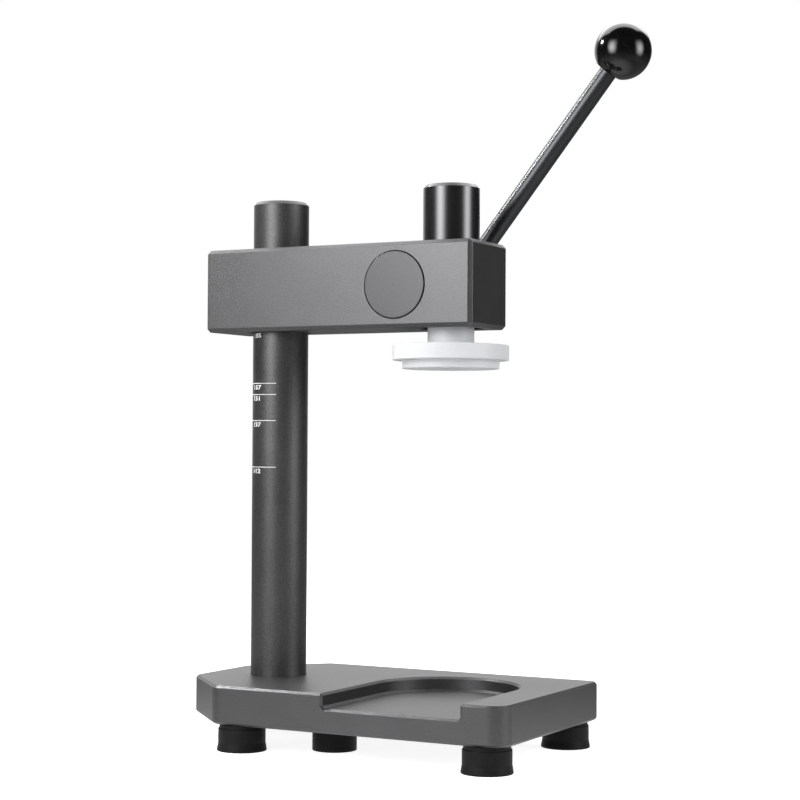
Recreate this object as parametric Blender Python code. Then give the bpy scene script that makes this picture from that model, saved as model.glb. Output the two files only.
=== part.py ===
"""Hand-lever cap press: a rack-and-pinion ram on an arm that is set in height on a round column.

Units are metres, +Z is up and -Y is the front, where the container slides in. The origin is the
middle of the machine's bounding box, at the level of the surface that the feet stand on.
"""
import math

import bmesh
import bpy

# Clearance left between any two pieces that touch, and round everything that turns or slides.
FIT = 0.0003

# Base plate, measured from the column's axis (left is -X).
BASE_LENGTH = 0.200
BASE_LEFT = 0.037
BASE_DEPTH = 0.120
BASE_THICKNESS = 0.020
BASE_CHAMFER_LEG = 0.035
BASE_FRONT_RADIUS = 0.010
BASE_REAR_RADIUS = 0.006
BASE_EDGE = 0.0012

# Pocket in the base that centres the container: open at the front, round at the rear.
SLOT_WIDTH = 0.077
SLOT_DEPTH = 0.0075
SLOT_REACH = 0.1010

# Rubber feet and the middle support pad.
FOOT_HEIGHT = 0.0140
FOOT_RADIUS = 0.0123
FOOT_FLARE = 0.0006
FOOT_SHOULDER = 0.0006
FOOT_SHOULDER_HEIGHT = 0.002
FOOT_INSET_LEFT = 0.0445
FOOT_INSET_RIGHT = 0.0146
FOOT_INSET_DEPTH = 0.0125
FOOT_RECESS_RADIUS = 0.0056
FOOT_RECESS_DEPTH = 0.007
PAD_RADIUS = 0.0116
PAD_REACH = 0.0485
PAD_FRONT = 0.0225
FOOT_SCREW_RADIUS = 0.0025
FOOT_SCREW_GRIP = 0.009
FOOT_SCREW_HEAD_RADIUS = 0.0045
FOOT_SCREW_HEAD_HEIGHT = 0.0040

# Column, its seat in the base and the bolt that pulls it down.
COLUMN_RADIUS = 0.015
COLUMN_RISE = 0.2555
COLUMN_SEAT = 0.006
COLUMN_EDGE = 0.0018
COLUMN_BOLT_RADIUS = 0.005
COLUMN_BOLT_GRIP = 0.022
COLUMN_BOLT_HEAD_RADIUS = 0.008
COLUMN_BOLT_HEAD_HEIGHT = 0.006
COLUMN_WASHER_RADIUS = 0.010
COLUMN_WASHER_THICKNESS = 0.0015
COLUMN_COUNTERBORE_DEPTH = 0.0086

# Arm block.
ARM_LIFT = 0.1846
ARM_HEIGHT = 0.0446
ARM_WALL = 0.00465
ARM_LEFT = 0.0348
ARM_RIGHT = 0.1257
ARM_EDGE = 0.002

# Plain bushes: wall thickness and length.
COLUMN_BUSH_WALL = 0.0012
COLUMN_BUSH_LENGTH = 0.014
RAM_BUSH_WALL = 0.0015
RAM_BUSH_LENGTH = 0.0115

# Ram, measured from the column's axis and from the arm's top and underside.
RAM_RADIUS = 0.01475
RAM_REACH = 0.1036
RAM_PROUD = 0.0300
RAM_INSET = 0.001
RAM_EDGE = 0.0018
RAM_UP = 0.0080
RAM_DOWN = 0.014

# Rack and pinion teeth, 20 degree flanks.
MODULE = 0.0015
PINION_TEETH = 12
PRESSURE_ANGLE = math.radians(20)
PINION_ADDENDUM = 0.0013
RACK_ADDENDUM = 0.0010
DEDENDUM = 0.00187
BACKLASH = 0.0003
RACK_PITCH_DEPTH = 0.00175
RACK_MARGIN = 0.0005
PINION_WIDTH = 0.015

# Pinion shaft, its bushes and its retaining ring.
FLANGE_RADIUS = 0.0174
FLANGE_PROUD = 0.0005
FLANGE_WEB = 0.00035
SHAFT_RADIUS = 0.007
SHAFT_CENTRE_MARK = 0.0011
RING_THICKNESS = 0.001
RING_RADIUS = 0.0100
RING_GROOVE_DEPTH = 0.0006

# Lever.
LEVER_ANGLE = math.radians(51.2)
LEVER_LENGTH = 0.1585
LEVER_OFFSET = 0.0230
HUB_RADIUS = 0.013
HUB_LENGTH = 0.030
HUB_TAIL = 0.0095
ROD_RADIUS = 0.0048
BALL_RADIUS = 0.015
BALL_SOCKET_DEPTH = 0.017
BALL_FLAT_RADIUS = 0.0075
GRUB_RADIUS = 0.0025
HUB_WASHER_RADIUS = 0.009
HUB_WASHER_THICKNESS = 0.0012
HUB_SCREW_RADIUS = 0.0025
HUB_SCREW_GRIP = 0.012
HUB_SCREW_HEAD_RADIUS = 0.0047
HUB_SCREW_HEAD_HEIGHT = 0.0028

# Press head, measured downwards from the arm's underside, and its screw.
HEAD_GAP = 0.0084
HEAD_NECK_RADIUS = 0.01215
HEAD_DISC_RADIUS = 0.03025
HEAD_DISC_THICKNESS = 0.0080
HEAD_NOSE_RADIUS = 0.02525
HEAD_NOSE_THICKNESS = 0.0044
HEAD_EDGE = 0.0006
HEAD_SCREW_RADIUS = 0.004
HEAD_SCREW_GRIP = 0.014
HEAD_SCREW_HEAD_RADIUS = 0.0065
HEAD_SCREW_HEAD_HEIGHT = 0.008
HEAD_SCREW_SINK = 0.001

# Clamp at the rear of the arm.
CLAMP_STUD_RADIUS = 0.004
CLAMP_PAD_THICKNESS = 0.002
CLAMP_STUD_IN_KNOB = 0.009
CLAMP_KNOB_RADIUS = 0.014
CLAMP_KNOB_THICKNESS = 0.014
CLAMP_KNOB_LOBES = 8
CLAMP_KNOB_FLUTE = 0.0016
CLAMP_KNOB_GAP = 0.0025

# Hexagon sockets of the screws, as shares of the head.
SOCKET_SHARE = 0.55
SOCKET_DEPTH_SHARE = 0.5

# Sizes and places that follow from the driving values.
BASE_TOP = FOOT_HEIGHT + BASE_THICKNESS
ARM_BOTTOM = BASE_TOP + ARM_LIFT
ARM_MIDDLE = ARM_HEIGHT / 2
COLUMN_BORE_RADIUS = COLUMN_RADIUS + FIT + COLUMN_BUSH_WALL + FIT
RAM_BORE_RADIUS = RAM_RADIUS + FIT + RAM_BUSH_WALL + FIT
ARM_HALF_DEPTH = RAM_BORE_RADIUS + ARM_WALL
PITCH_RADIUS = MODULE * PINION_TEETH / 2
PITCH = math.pi * MODULE
RACK_PITCH_OFFSET = RAM_RADIUS - RACK_PITCH_DEPTH
PINION_REACH = RAM_REACH - RACK_PITCH_OFFSET - PITCH_RADIUS
PINION_TIP_RADIUS = PITCH_RADIUS + PINION_ADDENDUM
CROSS_BUSH_RADIUS = PINION_TIP_RADIUS + 2 * FIT
CROSS_BORE_RADIUS = CROSS_BUSH_RADIUS + FIT
FLANGE_POCKET_DEPTH = ARM_WALL - FLANGE_WEB
LEVER_Y = ARM_HALF_DEPTH + LEVER_OFFSET
LEFT_END = -max(BASE_LEFT, ARM_LEFT)
RIGHT_END = max(BASE_LENGTH - BASE_LEFT, ARM_RIGHT,
                PINION_REACH + LEVER_LENGTH * math.cos(LEVER_ANGLE) + BALL_RADIUS)
COLUMN_X = -(LEFT_END + RIGHT_END) / 2

# Directions in which a turned or extruded piece points.
UP = (0.0, 0.0, 0.0)
DOWN = (math.pi, 0.0, 0.0)
FRONT = (math.pi / 2, 0.0, 0.0)
REAR = (-math.pi / 2, 0.0, 0.0)
ALONG_LEVER = (0.0, math.pi / 2 - LEVER_ANGLE, 0.0)
AGAINST_LEVER = (0.0, -math.pi / 2 - LEVER_ANGLE, 0.0)


def clear_scene():
    """Remove every object, so that the scene holds the machine alone."""
    for item in list(bpy.data.objects):
        bpy.data.objects.remove(item)


def make_material(name, colour, roughness, metallic):
    """A Principled material of one plain colour."""
    finish = bpy.data.materials.new(name)
    finish.use_nodes = True
    shader = finish.node_tree.nodes["Principled BSDF"]
    shader.inputs["Base Color"].default_value = (*colour, 1.0)
    shader.inputs["Roughness"].default_value = roughness
    shader.inputs["Metallic"].default_value = metallic
    return finish


def add_frame(name, place, parent=None):
    """An empty that carries the pieces of one moving body."""
    frame = bpy.data.objects.new(name, None)
    bpy.context.collection.objects.link(frame)
    frame.parent = parent
    frame.location = place
    return frame


def add_object(name, mesh_tool, finish, place, pointing, parent):
    """Turn a bmesh into a named, smooth-shaded object at its place."""
    bmesh.ops.recalc_face_normals(mesh_tool, faces=mesh_tool.faces)
    mesh = bpy.data.meshes.new(name)
    mesh_tool.to_mesh(mesh)
    mesh_tool.free()
    mesh.shade_smooth()
    mesh.set_sharp_from_angle(angle=math.radians(30))
    if finish is not None:
        mesh.materials.append(finish)
    piece = bpy.data.objects.new(name, mesh)
    bpy.context.collection.objects.link(piece)
    piece.parent = parent
    piece.location = place
    piece.rotation_euler = pointing
    return piece


def turned(name, outline, finish, place=(0, 0, 0), pointing=UP, parent=None, segments=28):
    """A turned piece: a closed outline of (radius, height) points spun about its own Z axis."""
    lathe = bmesh.new()
    rim = [lathe.verts.new((radius, 0.0, height)) for radius, height in outline]
    edges = []
    for first, second in zip(rim, rim[1:] + rim[:1]):
        if first.co.x > 0 or second.co.x > 0:
            edges.append(lathe.edges.new((first, second)))
    bmesh.ops.spin(lathe, geom=rim + edges, cent=(0, 0, 0), axis=(0, 0, 1),
                   angle=math.tau, steps=segments, use_merge=True)
    bmesh.ops.remove_doubles(lathe, verts=lathe.verts, dist=1e-6)
    lathe.normal_update()
    flat_ends = [point for point in lathe.verts if point.co.xy.length < 1e-7
                 and all(abs(face.normal.z) > 0.999 for face in point.link_faces)]
    bmesh.ops.dissolve_verts(lathe, verts=flat_ends)
    return add_object(name, lathe, finish, place, pointing, parent)


def extruded(name, outline, height, finish, place=(0, 0, 0), pointing=UP, parent=None):
    """A flat outline of (x, y) points extruded along its own Z axis."""
    press = bmesh.new()
    face = press.faces.new([press.verts.new((x, y, 0.0)) for x, y in outline])
    grown = bmesh.ops.extrude_face_region(press, geom=[face])
    top = [item for item in grown["geom"] if isinstance(item, bmesh.types.BMVert)]
    bmesh.ops.translate(press, verts=top, vec=(0, 0, height))
    return add_object(name, press, finish, place, pointing, parent)


def combine(target, tool, operation):
    """Join a hidden tool piece to the target, or cut it away, with an exact Boolean."""
    tool.hide_render = True
    tool.display_type = "WIRE"
    step = target.modifiers.new(tool.name, "BOOLEAN")
    step.operation = operation
    step.solver = "EXACT"
    step.object = tool


def drill(target, name, radius, length, place, pointing, parent=None, segments=36):
    """Cut a round hole that starts at its place and runs the way it points."""
    cutter = turned(name, [(0, 0), (radius, 0), (radius, length), (0, length)], None,
                    place, pointing, parent, segments)
    combine(target, cutter, "DIFFERENCE")


def chamfer(target, width):
    """Break every sharp edge that the piece has so far."""
    step = target.modifiers.new("edge_break", "BEVEL")
    step.width = width
    step.segments = 1
    step.limit_method = "ANGLE"
    step.angle_limit = math.radians(50)


def arc(centre, radius, start, end, steps):
    """Points on an arc, both ends included."""
    points = []
    for step in range(steps + 1):
        angle = start + (end - start) * step / steps
        points.append((centre[0] + radius * math.cos(angle), centre[1] + radius * math.sin(angle)))
    return points


def rounded(corners, steps=5):
    """A convex outline, given anticlockwise as (x, y, corner radius), with its corners rounded."""
    points = []
    count = len(corners)
    for index, corner in enumerate(corners):
        before = corners[index - 1]
        after = corners[(index + 1) % count]
        radius = corner[2]
        arriving = math.atan2(corner[1] - before[1], corner[0] - before[0])
        leaving = math.atan2(after[1] - corner[1], after[0] - corner[0])
        turn = (leaving - arriving) % math.tau
        setback = radius * math.tan(turn / 2)
        start = (corner[0] - setback * math.cos(arriving), corner[1] - setback * math.sin(arriving))
        centre = (start[0] - radius * math.sin(arriving), start[1] + radius * math.cos(arriving))
        first = arriving - math.pi / 2
        points.extend(arc(centre, radius, first, first + turn, steps))
    return points


def ring_outline(inner, outer, length):
    """Cross-section of a plain ring or bush."""
    return [(inner, 0), (outer, 0), (outer, length), (inner, length)]


def screw(name, radius, grip, head_radius, head_height, finish, place, pointing, parent=None):
    """A socket-head screw: its place is the seat under the head, and it points along its shank."""
    edge = 0.1 * head_radius
    outline = [(0, -head_height), (head_radius - edge, -head_height),
               (head_radius, edge - head_height), (head_radius, 0), (radius, 0),
               (radius, grip - edge), (radius - edge, grip), (0, grip)]
    body = turned(name, outline, finish, place, pointing, parent, segments=16)
    socket = [(SOCKET_SHARE * head_radius * math.cos(k * math.pi / 3),
               SOCKET_SHARE * head_radius * math.sin(k * math.pi / 3)) for k in range(6)]
    depth = SOCKET_DEPTH_SHARE * head_height
    key = extruded(name + "_socket", socket, 2 * depth, None, (0, 0, -head_height - depth), UP, body)
    combine(body, key, "DIFFERENCE")
    return body


def involute(angle):
    """The involute function, for tooth flanks."""
    return math.tan(angle) - angle


def pinion_outline():
    """Outline of the pinion, with the middle of a tooth on +X."""
    base_radius = PITCH_RADIUS * math.cos(PRESSURE_ANGLE)
    root_radius = PITCH_RADIUS - DEDENDUM
    tooth = math.pi * MODULE / 2 - BACKLASH
    spread = tooth / (2 * PITCH_RADIUS) + involute(PRESSURE_ANGLE)
    flank = [(root_radius, spread)]
    for step in range(4):
        radius = base_radius + (PINION_TIP_RADIUS - base_radius) * step / 3
        flank.append((radius, spread - involute(math.acos(base_radius / radius))))
    points = []
    for tooth_number in range(PINION_TEETH):
        middle = tooth_number * math.tau / PINION_TEETH
        rising = [(radius, middle - half) for radius, half in flank]
        falling = [(radius, middle + half) for radius, half in reversed(flank)]
        points.extend(rising + falling)
    return [(radius * math.cos(angle), radius * math.sin(angle)) for radius, angle in points]


def rack_outline():
    """What is cut from the ram's left side, in (x, z) from the ram's axis and the pinion's height."""
    tip = -(RACK_PITCH_OFFSET + RACK_ADDENDUM)
    root = -(RACK_PITCH_OFFSET - DEDENDUM)
    outside = -2 * RAM_RADIUS
    side = PINION_REACH - RAM_REACH + RAM_RADIUS
    run_out = math.sqrt(PINION_TIP_RADIUS ** 2 - side ** 2) + RACK_MARGIN
    low = -RAM_UP - run_out
    high = RAM_DOWN + run_out
    half_gap = PITCH / 4 + BACKLASH / 2
    slope = math.tan(PRESSURE_ANGLE)
    mouth = half_gap + RACK_ADDENDUM * slope
    floor = half_gap - DEDENDUM * slope
    # Every gap that the pinion can reach is cut whole, and the flat ends lie beyond the last ones.
    first = math.ceil((low - mouth) / PITCH)
    last = math.floor((high + mouth) / PITCH)
    low = min(low, first * PITCH - mouth - RACK_MARGIN)
    high = max(high, last * PITCH + mouth + RACK_MARGIN)
    points = [(outside, low), (tip, low)]
    for number in range(first, last + 1):
        middle = number * PITCH
        points.extend([(tip, middle - mouth), (root, middle - floor),
                       (root, middle + floor), (tip, middle + mouth)])
    return points + [(tip, high), (outside, high)]


def build_base(aluminium):
    """The base plate with its corner chamfers, container pocket and holes."""
    left = COLUMN_X - BASE_LEFT
    right = left + BASE_LENGTH
    half = BASE_DEPTH / 2
    corners = [(left + BASE_CHAMFER_LEG, -half, BASE_FRONT_RADIUS),
               (right, -half, BASE_FRONT_RADIUS),
               (right, half, BASE_REAR_RADIUS),
               (left + BASE_CHAMFER_LEG, half, BASE_REAR_RADIUS),
               (left, half - BASE_CHAMFER_LEG, BASE_REAR_RADIUS),
               (left, BASE_CHAMFER_LEG - half, BASE_REAR_RADIUS)]
    plate = extruded("base_plate", rounded(corners), BASE_THICKNESS, aluminium,
                     (0, 0, FOOT_HEIGHT))
    slot_x = COLUMN_X + SLOT_REACH
    radius = SLOT_WIDTH / 2
    outline = [(slot_x - radius, -BASE_DEPTH), (slot_x + radius, -BASE_DEPTH)]
    outline.extend(arc((slot_x, 0), radius, 0, math.pi, 24))
    pocket = extruded("base_pocket", outline, BASE_THICKNESS, None, (0, 0, BASE_TOP - SLOT_DEPTH))
    combine(plate, pocket, "DIFFERENCE")
    chamfer(plate, BASE_EDGE)
    drill(plate, "column_seat", COLUMN_RADIUS + FIT, BASE_THICKNESS,
          (COLUMN_X, 0, BASE_TOP - COLUMN_SEAT), UP)
    drill(plate, "column_bolt_hole", COLUMN_BOLT_RADIUS + FIT, 2 * BASE_TOP, (COLUMN_X, 0, 0), UP)
    drill(plate, "column_counterbore", COLUMN_WASHER_RADIUS + FIT,
          FOOT_HEIGHT + COLUMN_COUNTERBORE_DEPTH, (COLUMN_X, 0, 0), UP)
    return plate


def build_foot(name, radius, flare, plate, place, rubber, zinc):
    """A rubber foot with its recessed screw, and the tapped hole for it in the base plate."""
    top = FOOT_HEIGHT - FIT
    neck = radius - FOOT_SHOULDER
    hole = FOOT_SCREW_RADIUS + FIT
    edge = FOOT_SHOULDER / 2
    outline = [(FOOT_RECESS_RADIUS, 0), (radius + flare - edge, 0), (radius + flare, edge),
               (radius + flare, edge + flare), (radius, edge + 4 * flare + FIT),
               (radius, top - FOOT_SHOULDER_HEIGHT), (neck, top - FOOT_SHOULDER_HEIGHT),
               (neck, top), (hole, top), (hole, FOOT_RECESS_DEPTH),
               (FOOT_RECESS_RADIUS, FOOT_RECESS_DEPTH)]
    turned(name, outline, rubber, (*place, 0), segments=24)
    grip = FOOT_HEIGHT - FOOT_RECESS_DEPTH + FOOT_SCREW_GRIP
    screw(name + "_screw", FOOT_SCREW_RADIUS, grip, FOOT_SCREW_HEAD_RADIUS,
          FOOT_SCREW_HEAD_HEIGHT, zinc, (*place, FOOT_RECESS_DEPTH - FIT), UP)
    drill(plate, name + "_hole", hole, FOOT_HEIGHT + FOOT_SCREW_GRIP + FIT, (*place, 0), UP,
          segments=16)


def build_feet(plate, rubber, zinc):
    """Four corner feet and the support pad between the column and the pocket."""
    left = COLUMN_X - BASE_LEFT + FOOT_INSET_LEFT
    right = COLUMN_X - BASE_LEFT + BASE_LENGTH - FOOT_INSET_RIGHT
    away = BASE_DEPTH / 2 - FOOT_INSET_DEPTH
    build_foot("foot_front_left", FOOT_RADIUS, FOOT_FLARE, plate, (left, -away), rubber, zinc)
    build_foot("foot_front_right", FOOT_RADIUS, FOOT_FLARE, plate, (right, -away), rubber, zinc)
    build_foot("foot_rear_right", FOOT_RADIUS, FOOT_FLARE, plate, (right, away), rubber, zinc)
    build_foot("foot_rear_left", FOOT_RADIUS, FOOT_FLARE, plate, (left, away), rubber, zinc)
    place = (COLUMN_X + PAD_REACH, -PAD_FRONT)
    build_foot("support_pad", PAD_RADIUS, 0, plate, place, rubber, zinc)


def build_column(steel, zinc):
    """The round column, pulled into its seat by a bolt and washer from below."""
    bottom = BASE_TOP - COLUMN_SEAT + FIT
    length = BASE_TOP + COLUMN_RISE - bottom
    hole = COLUMN_BOLT_RADIUS + FIT
    depth = COLUMN_BOLT_GRIP + FIT
    outline = [(hole, 0), (COLUMN_RADIUS - FIT, 0), (COLUMN_RADIUS, FIT),
               (COLUMN_RADIUS, length - COLUMN_EDGE), (COLUMN_RADIUS - COLUMN_EDGE, length),
               (0, length), (0, depth), (hole, depth)]
    turned("column", outline, steel, (COLUMN_X, 0, bottom), segments=40)
    seat = FOOT_HEIGHT + COLUMN_COUNTERBORE_DEPTH - FIT
    turned("column_washer", ring_outline(hole, COLUMN_WASHER_RADIUS, COLUMN_WASHER_THICKNESS), zinc,
           (COLUMN_X, 0, seat), DOWN, segments=20)
    seat -= COLUMN_WASHER_THICKNESS + FIT
    screw("column_bolt", COLUMN_BOLT_RADIUS, bottom - seat + COLUMN_BOLT_GRIP - FIT,
          COLUMN_BOLT_HEAD_RADIUS, COLUMN_BOLT_HEAD_HEIGHT, zinc, (COLUMN_X, 0, seat), UP)


def build_column_bushes(nylon, parent):
    """Two liners that slide on the column and let the arm swivel on them."""
    section = ring_outline(COLUMN_RADIUS + FIT, COLUMN_BORE_RADIUS - FIT, COLUMN_BUSH_LENGTH)
    turned("column_bush_lower", section, nylon, (0, 0, FIT), UP, parent)
    turned("column_bush_upper", section, nylon, (0, 0, ARM_HEIGHT - FIT), DOWN, parent)


def build_arm(aluminium, bronze, nylon, arm):
    """The arm block with its bores, and the plain bearings pressed into them."""
    length = ARM_LEFT + ARM_RIGHT
    half = ARM_HALF_DEPTH
    outline = [(-ARM_LEFT, -half), (ARM_RIGHT, -half), (ARM_RIGHT, half), (-ARM_LEFT, half)]
    block = extruded("arm_block", outline, ARM_HEIGHT, aluminium, parent=arm)
    chamfer(block, ARM_EDGE)
    drill(block, "column_bore", COLUMN_BORE_RADIUS, 3 * ARM_HEIGHT, (0, 0, -ARM_HEIGHT), UP, arm)
    drill(block, "ram_bore", RAM_BORE_RADIUS, 3 * ARM_HEIGHT, (RAM_REACH, 0, -ARM_HEIGHT), UP, arm)
    drill(block, "cross_bore", CROSS_BORE_RADIUS, length, (PINION_REACH, -length / 2, ARM_MIDDLE),
          REAR, arm)
    drill(block, "flange_pocket", FLANGE_RADIUS + FIT, length,
          (PINION_REACH, FLANGE_POCKET_DEPTH - half, ARM_MIDDLE), FRONT, arm)
    drill(block, "clamp_hole", CLAMP_STUD_RADIUS + FIT, length, (0, 0, ARM_MIDDLE), REAR, arm, 16)
    section = ring_outline(RAM_RADIUS + FIT, RAM_BORE_RADIUS - FIT, RAM_BUSH_LENGTH)
    turned("ram_bush_lower", section, nylon, (RAM_REACH, 0, FIT), UP, arm)
    turned("ram_bush_upper", section, nylon, (RAM_REACH, 0, ARM_HEIGHT - FIT), DOWN, arm)
    start = shaft_bush_start()
    front = half - FLANGE_POCKET_DEPTH - FIT
    section = ring_outline(SHAFT_RADIUS + FIT, CROSS_BUSH_RADIUS, front - start)
    turned("pinion_bush_front", section, bronze, (PINION_REACH, -start, ARM_MIDDLE), FRONT, arm)
    section = ring_outline(SHAFT_RADIUS + FIT, CROSS_BUSH_RADIUS, half - FIT - start)
    turned("pinion_bush_rear", section, bronze, (PINION_REACH, start, ARM_MIDDLE), REAR, arm)


def shaft_bush_start():
    """How far from the middle plane the shaft's bushes start, to stay clear of the ram."""
    side = RAM_REACH - PINION_REACH - CROSS_BUSH_RADIUS
    return math.sqrt(RAM_RADIUS ** 2 - side ** 2) + 2 * FIT


def build_shaft(steel, zinc, lever):
    """The pinion shaft: front flange, pinion and journals in one piece, and its retaining ring."""
    half = ARM_HALF_DEPTH
    groove = half + FIT
    groove_end = groove + RING_THICKNESS + 2 * FIT
    groove_radius = SHAFT_RADIUS - RING_GROOVE_DEPTH
    tail = LEVER_Y + HUB_TAIL - FIT
    face = -half - FLANGE_PROUD
    back = FLANGE_POCKET_DEPTH - FIT - half
    outline = [(0, face + SHAFT_CENTRE_MARK), (SHAFT_CENTRE_MARK, face),
               (FLANGE_RADIUS - FLANGE_PROUD, face), (FLANGE_RADIUS, face + FLANGE_PROUD),
               (FLANGE_RADIUS, back), (SHAFT_RADIUS, back), (SHAFT_RADIUS, groove),
               (groove_radius, groove), (groove_radius, groove_end), (SHAFT_RADIUS, groove_end),
               (SHAFT_RADIUS, tail), (HUB_SCREW_RADIUS + FIT, tail),
               (HUB_SCREW_RADIUS + FIT, tail - HUB_SCREW_GRIP), (0, tail - HUB_SCREW_GRIP)]
    shaft = turned("pinion_shaft", outline, steel, (0, 0, 0), REAR, lever, 36)
    teeth = extruded("pinion_teeth", pinion_outline(), PINION_WIDTH, None,
                     (0, PINION_WIDTH / 2, 0), FRONT, lever)
    combine(shaft, teeth, "UNION")
    opening = math.radians(25)
    inside = groove_radius + FIT
    outline = arc((0, 0), RING_RADIUS, opening, math.tau - opening, 24)
    outline.extend(arc((0, 0), inside, math.tau - opening, opening, 24))
    extruded("retaining_ring", outline, RING_THICKNESS, zinc, (0, groove + FIT, 0), REAR, lever)


def build_hub(steel, zinc, lever):
    """The lever hub behind the arm, with its grub screw, end washer and end screw."""
    tail = LEVER_Y + HUB_TAIL
    hub = turned("lever_hub", ring_outline(SHAFT_RADIUS + FIT, HUB_RADIUS, HUB_LENGTH), steel,
                 (0, tail - HUB_LENGTH, 0), REAR, lever)
    chamfer(hub, HUB_RADIUS / 20)
    drill(hub, "rod_hole", ROD_RADIUS + FIT, 2 * HUB_RADIUS, (0, LEVER_Y, 0), ALONG_LEVER, lever, 20)
    drill(hub, "grub_hole", GRUB_RADIUS + FIT, 2 * HUB_RADIUS, (0, LEVER_Y, 0), AGAINST_LEVER,
          lever, 16)
    grub_start = SHAFT_RADIUS + FIT
    grub_length = HUB_RADIUS - grub_start - FIT
    outline = [(0, 0), (GRUB_RADIUS, 0), (GRUB_RADIUS, grub_length), (0, grub_length)]
    place = (-grub_start * math.cos(LEVER_ANGLE), LEVER_Y, -grub_start * math.sin(LEVER_ANGLE))
    turned("hub_grub_screw", outline, zinc, place, AGAINST_LEVER, lever, 16)
    washer = ring_outline(HUB_SCREW_RADIUS + FIT, HUB_WASHER_RADIUS, HUB_WASHER_THICKNESS)
    turned("hub_washer", washer, zinc, (0, tail + FIT, 0), REAR, lever, 20)
    seat = tail + HUB_WASHER_THICKNESS + 2 * FIT
    screw("hub_screw", HUB_SCREW_RADIUS, HUB_SCREW_GRIP - FIT, HUB_SCREW_HEAD_RADIUS,
          HUB_SCREW_HEAD_HEIGHT, zinc, (0, seat, 0), FRONT, lever)


def build_lever(steel, plastic, lever):
    """The lever rod, screwed into the hub, and the ball knob on its end."""
    start = SHAFT_RADIUS + 2 * FIT
    end = LEVER_LENGTH - BALL_RADIUS + BALL_SOCKET_DEPTH - FIT
    edge = ROD_RADIUS / 10
    outline = [(0, 0), (ROD_RADIUS - edge, 0), (ROD_RADIUS, edge), (ROD_RADIUS, end - start - edge),
               (ROD_RADIUS - edge, end - start), (0, end - start)]
    place = (start * math.cos(LEVER_ANGLE), LEVER_Y, start * math.sin(LEVER_ANGLE))
    turned("lever_rod", outline, steel, place, ALONG_LEVER, lever, 24)
    socket = ROD_RADIUS + FIT
    depth = -math.sqrt(BALL_RADIUS ** 2 - BALL_FLAT_RADIUS ** 2)
    lowest = math.asin(depth / BALL_RADIUS)
    outline = [(socket, depth)] + arc((0, 0), BALL_RADIUS, lowest, math.pi / 2, 12)[:-1]
    outline.extend([(0, BALL_RADIUS), (0, BALL_SOCKET_DEPTH - BALL_RADIUS),
                    (socket, BALL_SOCKET_DEPTH - BALL_RADIUS)])
    place = (LEVER_LENGTH * math.cos(LEVER_ANGLE), LEVER_Y, LEVER_LENGTH * math.sin(LEVER_ANGLE))
    turned("ball_knob", outline, plastic, place, ALONG_LEVER, lever, 28)


def build_ram(steel, nylon, zinc, ram):
    """The round ram with its rack, the press head under it and the screw that holds the head."""
    length = ARM_HEIGHT + RAM_PROUD - RAM_INSET
    hole = HEAD_SCREW_RADIUS + FIT
    outline = [(hole, 0), (RAM_RADIUS - RAM_EDGE / 2, 0), (RAM_RADIUS, RAM_EDGE / 2),
               (RAM_RADIUS, length - RAM_EDGE), (RAM_RADIUS - RAM_EDGE, length), (0, length),
               (0, HEAD_SCREW_GRIP + FIT), (hole, HEAD_SCREW_GRIP + FIT)]
    bar = turned("ram", outline, steel, (0, 0, RAM_INSET), UP, ram, 40)
    rack = extruded("rack_cut", rack_outline(), 4 * RAM_RADIUS, None,
                    (0, 2 * RAM_RADIUS, ARM_MIDDLE), FRONT, ram)
    combine(bar, rack, "DIFFERENCE")
    top = RAM_INSET - FIT
    disc_top = -HEAD_GAP
    disc_bottom = disc_top - HEAD_DISC_THICKNESS
    bottom = disc_bottom - HEAD_NOSE_THICKNESS
    sink = HEAD_SCREW_HEAD_RADIUS + FIT
    sink_top = bottom + HEAD_SCREW_SINK + HEAD_SCREW_HEAD_HEIGHT
    edge = HEAD_EDGE
    outline = [(sink, bottom), (HEAD_NOSE_RADIUS - edge, bottom), (HEAD_NOSE_RADIUS, bottom + edge),
               (HEAD_NOSE_RADIUS, disc_bottom), (HEAD_DISC_RADIUS - edge, disc_bottom),
               (HEAD_DISC_RADIUS, disc_bottom + edge), (HEAD_DISC_RADIUS, disc_top - edge),
               (HEAD_DISC_RADIUS - edge, disc_top), (HEAD_NECK_RADIUS, disc_top),
               (HEAD_NECK_RADIUS, top), (hole, top), (hole, sink_top), (sink, sink_top)]
    turned("press_head", outline, nylon, (0, 0, 0), UP, ram, 40)
    seat = sink_top - FIT
    screw("press_head_screw", HEAD_SCREW_RADIUS, RAM_INSET - seat + HEAD_SCREW_GRIP - FIT,
          HEAD_SCREW_HEAD_RADIUS, HEAD_SCREW_HEAD_HEIGHT, zinc, (0, 0, seat), UP, ram)


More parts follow.
